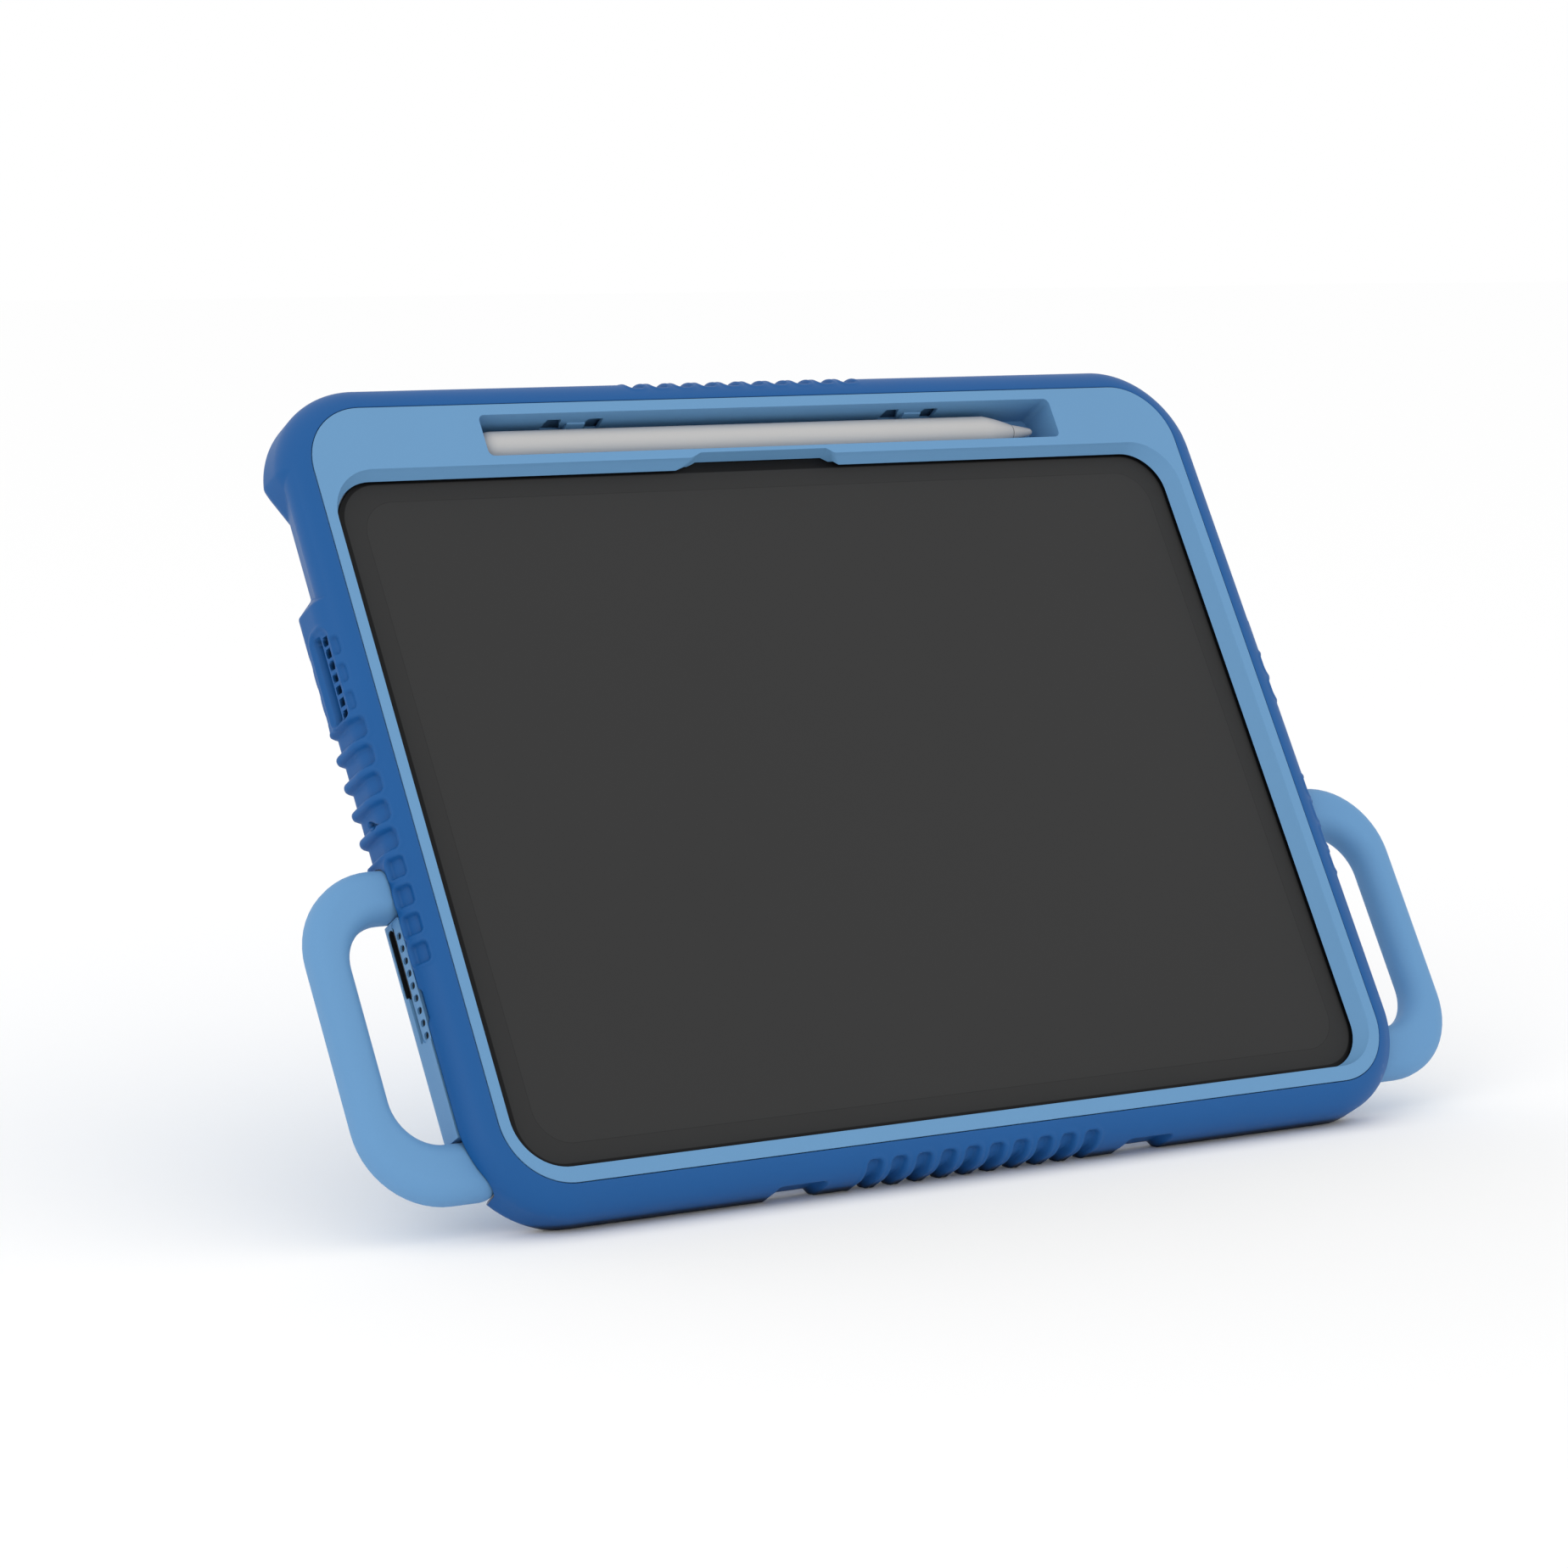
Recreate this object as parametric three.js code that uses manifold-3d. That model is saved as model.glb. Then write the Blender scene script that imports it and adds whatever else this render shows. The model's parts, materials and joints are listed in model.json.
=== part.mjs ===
// A tablet computer in a two-colour rugged case for children: a soft dark bumper round a hard light
// shell, a stylus in a slot above the screen, a swinging grip handle on each side and a rear stand.
//
// Everything is modelled in the tablet's own frame and the whole group is then stood up:
//   x to the right along the screen, y up the screen, z out of the glass, 0 at the glass centre, mm.
// The finished part leans back on its stand with +Z up and its origin on the table.

import * as THREE from "three";
import { mergeVertices } from "three/addons/utils/BufferGeometryUtils.js";
import Module from "manifold-3d";

const wasm = await Module();
wasm.setup();

// ---------------------------------------------------------------- driving dimensions (mm)

const GAP = 0.3; // between pieces that touch
const LEAN = THREE.MathUtils.degToRad(30.7); // screen from upright
const REST_DEPTH = 89.05; // screen centre to table, measured straight down

const TABLET = { halfX: 123.8, halfY: 89.25, corner: 18, back: -6.1, glass: 0.7, wall: 1.6, floor: 0.7 };
const OPENING = { halfX: 121.8, halfY: 86.7, corner: 11, flare: 1.4 };
const BEZEL = { halfX: 127, bottom: -91.6, top: 104.3, corner: 16, under: 0.3, front: 4 };
const CASE = { halfX: 134.3, bottom: -98.4, top: 111.4, corner: 25, front: 4, back: -11.5, roll: 7, heel: 3 };
const SHELL = { back: -8, hump: -11.2 };
const LIP = { halfX: 118, bottom: -85, top: 96, corner: 12 }; // window in the bumper's back lip
const SLOT = { left: -79, right: 90, bottom: 90.6, top: 101.1, floor: -7.5, wall: 1.05 };
const CLIP_CUTS = [-58, -46, 42.5, 55]; // left ends of the cuts beside the stylus clips
const CLIP_CUT_WIDTH = 5.5;
const CAMERA_NOTCH = { left: -20, right: 17, flareLeft: -26, flareRight: 20, top: 89.1 };

const STYLUS = { start: -78.2, length: 165.5, radius: 4.45, y: 95.4, z: -2.75, cone: 16, tip: 7, bore: 3.2 };

const HANDLE = {
  outer: 157, bar: 9.4, top: -9.4, bottom: -89.7, legTop: -21.9, legBottom: -76,
  outerCorner: 20, innerCorner: 11, thick: 9.6, z: -6.9, round: 4.2,
};
const HANDLE_PIN = { x: 130.5, radius: 1.2, top: -10, bottom: -85.5 };
const POD = { top: -22.2, bottom: -75.7, front: -2.6 };
const BUMPER_OVER_HANDLE = -1.8; // underside of the bumper above the handle legs

const GRIP = { pitch: 7, groove: 4.7, depth: 1.3, front: 2.5, firstTop: 49.5, count: 12 };
const EDGE_GRIP = { pitch: 7, groove: 4, depth: 1.3, front: 2.7, first: -31.5, count: 10 };
const EDGE_NOTCH = { near: 44, far: 57, depth: 2, front: -1.5 };
const RECESS = { bottom: 59, bottomAtKeys: 36, top: 84, depth: 4.2, front: 1.5 };

const SPEAKER_WINDOW = { bottom: 29, top: 53, front: -1, back: -10, depth: 2.4 };
const LEFT_HOLES = { size: 1.7, pitch: 3.4, count: 7, centre: 41, z: -4 };
const RIGHT_HOLES = { size: 1.7, pitch: 3.4, count: 5, centre: 22, z: -4 };
const POD_SLOT = { bottom: -50, top: -21.3, front: -2.6, back: -5, depth: 1.4 };
const POD_HOLES = { size: 1.5, pitch: 3.1, count: 9, centre: -35.5, z: -3.8 };

const KEY_LEVEL = -3; // height of the side keys below the glass
const KEYS = { volume_down: 43.5, volume_up: 52, power: 66 };
const KEY = { halfLength: 2.5, halfHeight: 1.2, inner: 123.0, outer: 124.4, pocket: 122.2 };
const COVER = { halfLength: 2.8, halfHeight: 1.6, inner: 124.7, outer: 133.9 };
const PORT = { halfWidth: 4.4, halfHeight: 1.6, inner: 116.2, outer: 123.4, wall: 0.5, cutHalf: 7, cutHigh: 3.3 };

const STAND = {
  hingeY: 40, hingeZ: -9.9, reach: 122, halfWidth: 44, plate: 2.6, plateEnd: 116.5,
  knuckle: 1.5, knuckleHalf: 30, pin: 0.6, pinHole: 0.95, pinHalf: 36, neck: 5, padHalf: 38, corner: 14,
};
const LUG = { near: 30.4, far: 37, half: 1.9 };

const CAMERA = { x: -104, y: 68, radius: 6.5, window: 9, back: -7.4 };
const PARTS_BACK = -5.1; // lowest level of the parts inside the tablet
const PARTS_FRONT = -2.4; // highest level of the parts inside the tablet

const STAND_OPEN = LEAN + Math.acos(
  (REST_DEPTH + Math.cos(LEAN) * STAND.hingeY + Math.sin(LEAN) * STAND.hingeZ) / STAND.reach,
);

// ---------------------------------------------------------------- materials

const finish = (color, roughness, metalness = 0) =>
  new THREE.MeshStandardMaterial({ color, roughness, metalness });

const MATERIALS = {
  bumper: finish(0x3566a2, 0.6),
  shell: finish(0x709ec8, 0.5),
  handle: finish(0x6f9bc4, 0.55),
  glass: finish(0x3a3a3a, 0.25),
  display: finish(0x3e3e3e, 0.5),
  aluminium: finish(0xa9adb2, 0.4, 0.9),
  steel: finish(0xb8bcc0, 0.3, 1),
  stylus: finish(0xc2c2c0, 0.45),
  rubber: finish(0x24476f, 0.8),
  cell: finish(0x2b2d30, 0.5),
  board: finish(0x1f4a36, 0.6),
  flex: finish(0xb27a35, 0.5),
  black: finish(0x17181a, 0.4),
};

// ---------------------------------------------------------------- solids

function solid(geometry) {
  const bare = geometry.index ? geometry.toNonIndexed() : geometry.clone();
  bare.deleteAttribute("normal");
  bare.deleteAttribute("uv");
  const merged = mergeVertices(bare, 1e-4);
  return new wasm.Manifold(new wasm.Mesh({
    numProp: 3,
    vertProperties: merged.attributes.position.array,
    triVerts: new Uint32Array(merged.index.array),
  }));
}

function geometryOf(body) {
  const mesh = body.getMesh();
  const geometry = new THREE.BufferGeometry();
  geometry.setAttribute("position", new THREE.BufferAttribute(mesh.vertProperties, 3));
  geometry.setIndex(new THREE.BufferAttribute(mesh.triVerts, 1));
  const faceted = geometry.toNonIndexed();
  faceted.computeVertexNormals();
  return faceted;
}

const join = (...bodies) => bodies.reduce((whole, body) => whole.add(body));
const cut = (body, ...tools) => tools.reduce((rest, tool) => rest.subtract(tool), body);

function box(x0, x1, y0, y1, z0, z1) {
  const geometry = new THREE.BoxGeometry(x1 - x0, y1 - y0, z1 - z0);
  return solid(geometry.translate((x0 + x1) / 2, (y0 + y1) / 2, (z0 + z1) / 2));
}

// A round bar along x, y or z between two places, through a centre given in the other two axes.
function rod(axis, radius, from, to, a, b, sides = 20) {
  const geometry = new THREE.CylinderGeometry(radius, radius, to - from, sides);
  const middle = (from + to) / 2;
  if (axis === "x") return solid(geometry.rotateZ(Math.PI / 2).translate(middle, a, b));
  if (axis === "z") return solid(geometry.rotateX(Math.PI / 2).translate(a, b, middle));
  return solid(geometry.translate(a, middle, b));
}

function arc(cx, cy, radius, fromDegrees, toDegrees, steps) {
  const points = [];
  for (let i = 0; i <= steps; i += 1) {
    const angle = THREE.MathUtils.degToRad(fromDegrees + ((toDegrees - fromDegrees) * i) / steps);
    points.push(new THREE.Vector2(cx + radius * Math.cos(angle), cy + radius * Math.sin(angle)));
  }
  return points;
}

function roundedOutline(x0, x1, y0, y1, radius, steps = 6) {
  return [
    ...arc(x1 - radius, y0 + radius, radius, -90, 0, steps),
    ...arc(x1 - radius, y1 - radius, radius, 0, 90, steps),
    ...arc(x0 + radius, y1 - radius, radius, 90, 180, steps),
    ...arc(x0 + radius, y0 + radius, radius, 180, 270, steps),
  ];
}

// A closed body through outlines of equal point count, each at its own level, lowest first.
function stack(layers) {
  const count = layers[0].outline.length;
  const positions = [];
  for (const { outline, z } of layers) {
    for (const point of outline) positions.push(point.x, point.y, z);
  }
  const faces = [];
  for (let k = 0; k + 1 < layers.length; k += 1) {
    for (let i = 0; i < count; i += 1) {
      const a = k * count + i;
      const b = k * count + ((i + 1) % count);
      faces.push(a, b, b + count, a, b + count, a + count);
    }
  }
  const last = (layers.length - 1) * count;
  for (const [a, b, c] of THREE.ShapeUtils.triangulateShape(layers[0].outline, [])) faces.push(c, b, a);
  for (const [a, b, c] of THREE.ShapeUtils.triangulateShape(layers.at(-1).outline, [])) {
    faces.push(last + a, last + b, last + c);
  }
  const geometry = new THREE.BufferGeometry();
  geometry.setAttribute("position", new THREE.Float32BufferAttribute(positions, 3));
  geometry.setIndex(faces);
  return solid(geometry);
}

const plate = (outline, z0, z1) => stack([{ outline, z: z0 }, { outline, z: z1 }]);

// A prism along y from a closed profile of [x, z] pairs, or along x from [y, z] pairs.
function prism(axis, profile, from, to) {
  const shape = new THREE.Shape(profile.map(([a, b]) => new THREE.Vector2(a, b)));
  const geometry = new THREE.ExtrudeGeometry(shape, { depth: to - from, bevelEnabled: false });
  if (axis === "x") {
    return solid(geometry.rotateX(Math.PI / 2).rotateZ(Math.PI / 2).translate(from, 0, 0));
  }
  return solid(geometry.rotateX(Math.PI / 2).translate(0, to, 0));
}

// ---------------------------------------------------------------- outlines

function bezelOutline(grow) {
  return roundedOutline(
    -BEZEL.halfX - grow, BEZEL.halfX + grow, BEZEL.bottom - grow, BEZEL.top + grow, BEZEL.corner + grow,
  );
}

function tabletOutline(grow) {
  return roundedOutline(
    -TABLET.halfX - grow, TABLET.halfX + grow, -TABLET.halfY - grow, TABLET.halfY + grow,
    TABLET.corner + grow,
  );
}

function caseOutline(inset) {
  return roundedOutline(
    -CASE.halfX + inset, CASE.halfX - inset, CASE.bottom + inset, CASE.top - inset, CASE.corner - inset, 8,
  );
}

// The outer form of the whole case: a wide roll at the front edge and a small one at the back.
function caseBody() {
  const layers = [];
  for (const degrees of [0, 30, 60, 90]) {
    const angle = THREE.MathUtils.degToRad(degrees);
    layers.push({
      outline: caseOutline(CASE.heel * (1 - Math.sin(angle))),
      z: CASE.back + CASE.heel * (1 - Math.cos(angle)),
    });
  }
  for (const degrees of [0, 22.5, 45, 67.5, 90]) {
    const angle = THREE.MathUtils.degToRad(degrees);
    layers.push({
      outline: caseOutline(CASE.roll * (1 - Math.cos(angle))),
      z: CASE.front - CASE.roll * (1 - Math.sin(angle)),
    });
  }
  return stack(layers);
}

function belowTable() {
  const size = 600;
  const slab = new THREE.BoxGeometry(size, size, size).translate(0, 0, -REST_DEPTH - size / 2);
  return slab.rotateX(LEAN - Math.PI / 2);
}

// ---------------------------------------------------------------- case

const onBothSides = (make) => [-1, 1].flatMap((side) => make(side));

// A box that reaches in from the left (-1) or right (1) side, given as distances from the middle.
function sideBox(side, near, far, y0, y1, z0, z1) {
  return side > 0 ? box(near, far, y0, y1, z0, z1) : box(-far, -near, y0, y1, z0, z1);
}

// The tool for a groove of even depth round the roll at the front edge, as [distance, z] pairs.
function grooveProfile(outer, depth, front, back = CASE.back - 1) {
  const middle = CASE.front - CASE.roll;
  const start = Math.asin((front - middle) / CASE.roll);
  const end = Math.asin(Math.max(0, back - middle) / (CASE.roll - depth));
  const round = (radius, angle) => [
    outer - CASE.roll + radius * Math.cos(angle), middle + radius * Math.sin(angle),
  ];
  const floor = [1, 0.67, 0.33, 0].map((share) => round(CASE.roll - depth, end + share * (start - end)));
  const straight = back < middle ? [[outer - depth, back]] : [];
  return [...floor, ...straight, [outer + 3, back], round(CASE.roll + 4, start)];
}

function gripGrooves(side) {
  const cuts = [];
  for (let i = 0; i < GRIP.count; i += 1) {
    const top = GRIP.firstTop - i * GRIP.pitch;
    const bottom = top - GRIP.groove;
    const besideSpeaker = i < 3;
    const besideHandle = i > 7;
    const overPort = side > 0 && bottom < PORT.cutHalf + 1 && top > -PORT.cutHalf - 1;
    const overKeys = side > 0 && besideSpeaker;
    if (overPort || overKeys) continue;
    let back = CASE.back - 1;
    if (besideSpeaker) back = -0.2;
    if (besideHandle) back = -0.5;
    const profile = grooveProfile(CASE.halfX, GRIP.depth, GRIP.front, back);
    cuts.push(prism("y", profile.map(([away, z]) => [side * away, z]), bottom, top));
  }
  return cuts;
}

function edgeGrooves(edge) {
  const outer = edge > 0 ? CASE.top : -CASE.bottom;
  const cuts = [];
  const bite = (x0, x1, depth, front) =>
    prism("x", grooveProfile(outer, depth, front).map(([away, z]) => [edge * away, z]), x0, x1);
  for (let i = 0; i < EDGE_GRIP.count; i += 1) {
    const x = EDGE_GRIP.first + i * EDGE_GRIP.pitch;
    cuts.push(bite(x - EDGE_GRIP.groove / 2, x + EDGE_GRIP.groove / 2, EDGE_GRIP.depth, EDGE_GRIP.front));
  }
  cuts.push(bite(EDGE_NOTCH.near, EDGE_NOTCH.far, EDGE_NOTCH.depth, EDGE_NOTCH.front));
  cuts.push(bite(-EDGE_NOTCH.far, -EDGE_NOTCH.near, EDGE_NOTCH.depth, EDGE_NOTCH.front));
  return cuts;
}

// The finger recess below each upper corner: nothing at the front lip, deepest at the back edge.
function fingerRecess(side) {
  const outer = CASE.halfX + 1;
  const wedge = [
    [side * CASE.halfX, RECESS.front],
    [side * (CASE.halfX - RECESS.depth), CASE.back - 1],
    [side * outer, CASE.back - 1],
    [side * outer, RECESS.front],
  ];
  return prism("y", wedge, side > 0 ? RECESS.bottomAtKeys : RECESS.bottom, RECESS.top);
}

const speakerWindow = () => sideBox(
  -1, CASE.halfX - SPEAKER_WINDOW.depth, CASE.halfX + 1,
  SPEAKER_WINDOW.bottom, SPEAKER_WINDOW.top, SPEAKER_WINDOW.back, SPEAKER_WINDOW.front,
);

// A row of square sound holes from the outside through to the tablet's edge.
function holeRow(side, hole) {
  const cuts = [];
  const half = hole.size / 2;
  for (let i = 0; i < hole.count; i += 1) {
    const y = hole.centre + (i - (hole.count - 1) / 2) * hole.pitch;
    cuts.push(sideBox(
      side, TABLET.halfX, CASE.halfX + 1, y - half, y + half, hole.z - half, hole.z + half,
    ));
  }
  return cuts;
}

const upperSoundHoles = () => [...holeRow(-1, LEFT_HOLES), ...holeRow(1, RIGHT_HOLES)];

const portCut = () => box(
  TABLET.halfX + 0.1, CASE.halfX + 1, -PORT.cutHalf, PORT.cutHalf,
  KEY_LEVEL - PORT.cutHigh, KEY_LEVEL + PORT.cutHigh,
);

function coverHoles() {
  const { halfLength, halfHeight } = COVER;
  return Object.values(KEYS).map((y) => box(
    TABLET.halfX + 0.1, CASE.halfX + 1, y - halfLength - GAP, y + halfLength + GAP,
    KEY_LEVEL - halfHeight - GAP, KEY_LEVEL + halfHeight + GAP,
  ));
}

function bumper() {
  const frameSeat = plate(bezelOutline(GAP), SHELL.back - GAP, CASE.front + 1);
  const window = plate(
    roundedOutline(-LIP.halfX, LIP.halfX, LIP.bottom, LIP.top, LIP.corner), CASE.back - 1, CASE.front,
  );
  const hump = box(
    SLOT.left - 3.3, SLOT.right + 3.3, LIP.top - 1, BEZEL.top + GAP, CASE.back - 1, 0,
  );
  const handleRoom = onBothSides((side) => [
    sideBox(side, LIP.halfX - 1, CASE.halfX + 1, HANDLE.bottom - GAP, HANDLE.top + GAP,
      CASE.back - 1, BUMPER_OVER_HANDLE),
  ]);
  return cut(
    caseBody(), frameSeat, window, hump, ...handleRoom,
    ...onBothSides(gripGrooves), ...edgeGrooves(1), ...edgeGrooves(-1),
    ...onBothSides((side) => [fingerRecess(side)]), speakerWindow(), ...upperSoundHoles(),
    portCut(), ...coverHoles(), rod("x", 0.6, -CASE.halfX - 1, -TABLET.halfX, 3.4, -3.2, 10),
    solid(belowTable()),
  );
}

function frontFrame() {
  const ring = plate(bezelOutline(0), BEZEL.under, BEZEL.front);
  const opening = (grow) => roundedOutline(
    -OPENING.halfX - grow, OPENING.halfX + grow, -OPENING.halfY - grow, OPENING.halfY + grow,
    OPENING.corner + grow,
  );
  const rise = BEZEL.front - BEZEL.under;
  const slope = OPENING.flare / rise;
  const screen = stack([
    { outline: opening(-slope), z: BEZEL.under - 1 },
    { outline: opening(OPENING.flare + slope), z: BEZEL.front + 1 },
  ]);
  const { left, right, top, flareLeft, flareRight } = CAMERA_NOTCH;
  const notch = plate([
    new THREE.Vector2(flareLeft, OPENING.halfY - 1),
    new THREE.Vector2(flareRight, OPENING.halfY - 1),
    new THREE.Vector2(right, top),
    new THREE.Vector2(left, top),
  ], BEZEL.under - 1, BEZEL.front + 1);
  const { wall, floor } = SLOT;
  const trough = box(
    SLOT.left - wall, SLOT.right + wall, SLOT.bottom - wall, SLOT.top + wall,
    floor - 1.5, BEZEL.front - 0.5,
  );
  const slot = plate(
    roundedOutline(SLOT.left, SLOT.right, SLOT.bottom, SLOT.top, 1.5, 3), floor, BEZEL.front + 1,
  );
  const clips = CLIP_CUTS.map((x) =>
    box(x, x + CLIP_CUT_WIDTH, SLOT.top - 0.5, SLOT.top + wall + 0.2, -4, -0.2));
  return cut(join(ring, trough), screen, notch, slot, ...clips);
}

function standLugs() {
  return [-1, 1].map((side) => {
    const block = sideBox(
      side, LUG.near, LUG.far, STAND.hingeY - LUG.half, STAND.hingeY + LUG.half,
      CASE.back + 0.1, SHELL.back + 0.5,
    );
    const hole = rod("x", STAND.pinHole, -LUG.far - 1, LUG.far + 1, STAND.hingeY, STAND.hingeZ, 12);
    return cut(block, hole);
  });
}

// The hard block between a handle's two legs, which carries its pin, with the lower speaker slot.
function handlePod(side) {
  const block = sideBox(
    side, LIP.halfX + GAP, CASE.halfX + 1, POD.bottom, POD.top, CASE.back, POD.front,
  ).intersect(caseBody());
  const tabletRoom = plate(tabletOutline(1), SHELL.back + 0.5, CASE.front);
  const soundSlot = sideBox(
    side, CASE.halfX - POD_SLOT.depth, CASE.halfX + 1, POD_SLOT.bottom, POD.top + 1,
    POD_SLOT.back, POD_SLOT.front + 1,
  );
  return cut(block, tabletRoom, soundSlot);
}

function rearShell() {
  const slab = plate(bezelOutline(0), SHELL.back, 0);
  const hump = box(
    SLOT.left - 3, SLOT.right + 3, TABLET.halfY - 0.4, BEZEL.top - 0.5, SHELL.hump, SHELL.back + 1,
  );
  const tabletRoom = plate(tabletOutline(GAP), TABLET.back - GAP, CASE.front);
  const troughRoom = box(
    SLOT.left - SLOT.wall - GAP, SLOT.right + SLOT.wall + GAP,
    TABLET.halfY, SLOT.top + SLOT.wall + GAP, SLOT.floor - 1.5 - GAP, CASE.front,
  );
  const legRoom = (side, y0, y1) => {
    const reach = HANDLE.thick / 2 + GAP;
    const behind = sideBox(side, HANDLE_PIN.x - reach, CASE.halfX + 1, y0, y1, CASE.back - 1, HANDLE.z);
    const round = rod("y", reach, y0, y1, side * HANDLE_PIN.x, HANDLE.z, 24);
    return [behind, round];
  };
  const handleRoom = onBothSides((side) => [
    ...legRoom(side, POD.top, HANDLE.top + GAP),
    ...legRoom(side, HANDLE.bottom - GAP, POD.bottom),
    rod("y", HANDLE_PIN.radius + GAP, HANDLE.bottom, HANDLE.top, side * HANDLE_PIN.x, HANDLE.z, 12),
  ]);
  const cameraWindow = rod("z", CAMERA.window, SHELL.back - 1, CASE.front, CAMERA.x, CAMERA.y, 28);
  return cut(
    join(slab, hump, ...onBothSides((side) => [handlePod(side)]), ...standLugs()),
    tabletRoom, troughRoom, ...handleRoom, cameraWindow, portCut(), ...coverHoles(),
    ...upperSoundHoles(), ...onBothSides((side) => holeRow(side, POD_HOLES)),
  );
}

// ---------------------------------------------------------------- handles

// The C-shaped outline of the right handle, pulled in by inset except at the ends of its legs.
function handleOutline(inset) {
  const { outer, bar, top, bottom, legTop, legBottom, outerCorner, innerCorner } = HANDLE;
  const far = outer - inset;
  const near = outer - bar + inset;
  const rOut = outerCorner - inset;
  const rIn = innerCorner + inset;
  return [
    new THREE.Vector2(HANDLE_PIN.x, bottom + inset),
    ...arc(far - rOut, bottom + inset + rOut, rOut, -90, 0, 8),
    ...arc(far - rOut, top - inset - rOut, rOut, 0, 90, 8),
    new THREE.Vector2(HANDLE_PIN.x, top - inset),
    new THREE.Vector2(HANDLE_PIN.x, legTop + inset),
    ...arc(near - rIn, legTop + inset - rIn, rIn, 90, 0, 5),
    ...arc(near - rIn, legBottom - inset + rIn, rIn, 0, -90, 5),
    new THREE.Vector2(HANDLE_PIN.x, legBottom - inset),
  ];
}

function handle() {
  const half = HANDLE.thick / 2;
  const layers = [];
  for (const degrees of [10, 35, 60, 90]) {
    const angle = THREE.MathUtils.degToRad(degrees);
    layers.push({
      outline: handleOutline(HANDLE.round * (1 - Math.sin(angle))),
      z: HANDLE.z - half + HANDLE.round * (1 - Math.cos(angle)),
    });
  }
  const bottomHalf = layers.map(({ outline, z }) => ({ outline, z: 2 * HANDLE.z - z }));
  const grip = stack([...layers, ...bottomHalf.reverse()]);
  const knuckle = (y0, y1) => rod("y", half, y0, y1, HANDLE_PIN.x, HANDLE.z, 24);
  const bore = rod(
    "y", HANDLE_PIN.radius + GAP, HANDLE_PIN.bottom - 0.5, HANDLE.top + 1, HANDLE_PIN.x, HANDLE.z, 12,
  );
  return cut(
    join(grip, knuckle(HANDLE.legTop, HANDLE.top), knuckle(HANDLE.bottom, HANDLE.legBottom)), bore,
  );
}

const handlePin = () =>
  rod("y", HANDLE_PIN.radius, HANDLE_PIN.bottom, HANDLE_PIN.top, HANDLE_PIN.x, HANDLE.z, 12);

// ---------------------------------------------------------------- stand (folded, about its hinge)

function standPlate() {
  const half = STAND.plate / 2;
  const blade = plate(roundedOutline(
    -STAND.halfWidth, STAND.halfWidth, -STAND.plateEnd, -STAND.neck, STAND.corner,
  ), -half, half);
  const neck = box(-STAND.knuckleHalf, STAND.knuckleHalf, -STAND.neck - 2, 0, -half, half);
  const knuckle = rod("x", STAND.knuckle, -STAND.knuckleHalf, STAND.knuckleHalf, 0, 0, 16);
  const bore = rod("x", STAND.pinHole, -STAND.knuckleHalf - 1, STAND.knuckleHalf + 1, 0, 0, 12);
  const padSeat = box(
    -STAND.padHalf - GAP, STAND.padHalf + GAP, -STAND.plateEnd - 1, -STAND.plateEnd + 4, -half - 1, half + 1,
  );
  return cut(join(blade, neck, knuckle), bore, padSeat);
}

function standPad() {
  const half = STAND.knuckle;
  const strip = box(-STAND.padHalf, STAND.padHalf, -STAND.reach - 3, -STAND.plateEnd + 4 - GAP, -half, half);
  const table = belowTable().translate(0, -STAND.hingeY, -STAND.hingeZ).rotateX(-STAND_OPEN);
  return cut(strip, solid(table));
}

const standPin = () => rod("x", STAND.pin, -STAND.pinHalf, STAND.pinHalf, 0, 0, 12);

// ---------------------------------------------------------------- stylus

// A lathe turned about the stylus' long axis and laid along x, from [distance, radius] pairs.
function turned(profile) {
  const points = profile.map(([along, radius]) => new THREE.Vector2(radius, along));
  const geometry = new THREE.LatheGeometry(points, 24);
  return solid(geometry.rotateZ(-Math.PI / 2).translate(STYLUS.start, STYLUS.y, STYLUS.z));
}

function stylusBarrel() {
  const { length, cone, tip, radius, bore } = STYLUS;
  const shoulder = length - cone;
  const mouth = length - tip - GAP;
  return turned([
    [0, 0], [0, radius - 1.6], [0.5, radius - 0.6], [1.6, radius], [shoulder, radius],
    [mouth, 2.2], [mouth, 1.3], [shoulder - 2, 1.3], [shoulder - 2, bore], [24, bore], [24, 0],
  ]);
}

function stylusTip() {
  const { length, tip } = STYLUS;
  return turned([
    [length - tip - 9, 0], [length - tip - 9, 1], [length - tip, 1], [length - tip, 2.1],
    [length - 0.6, 0.9], [length, 0.4], [length, 0],
  ]);
}

function stylusCell() {
  const reach = STYLUS.length - STYLUS.cone - 40;
  return turned([[30, 0], [30, STYLUS.bore - 0.4], [reach, STYLUS.bore - 0.4], [reach, 0]]);
}

// ---------------------------------------------------------------- tablet

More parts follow.
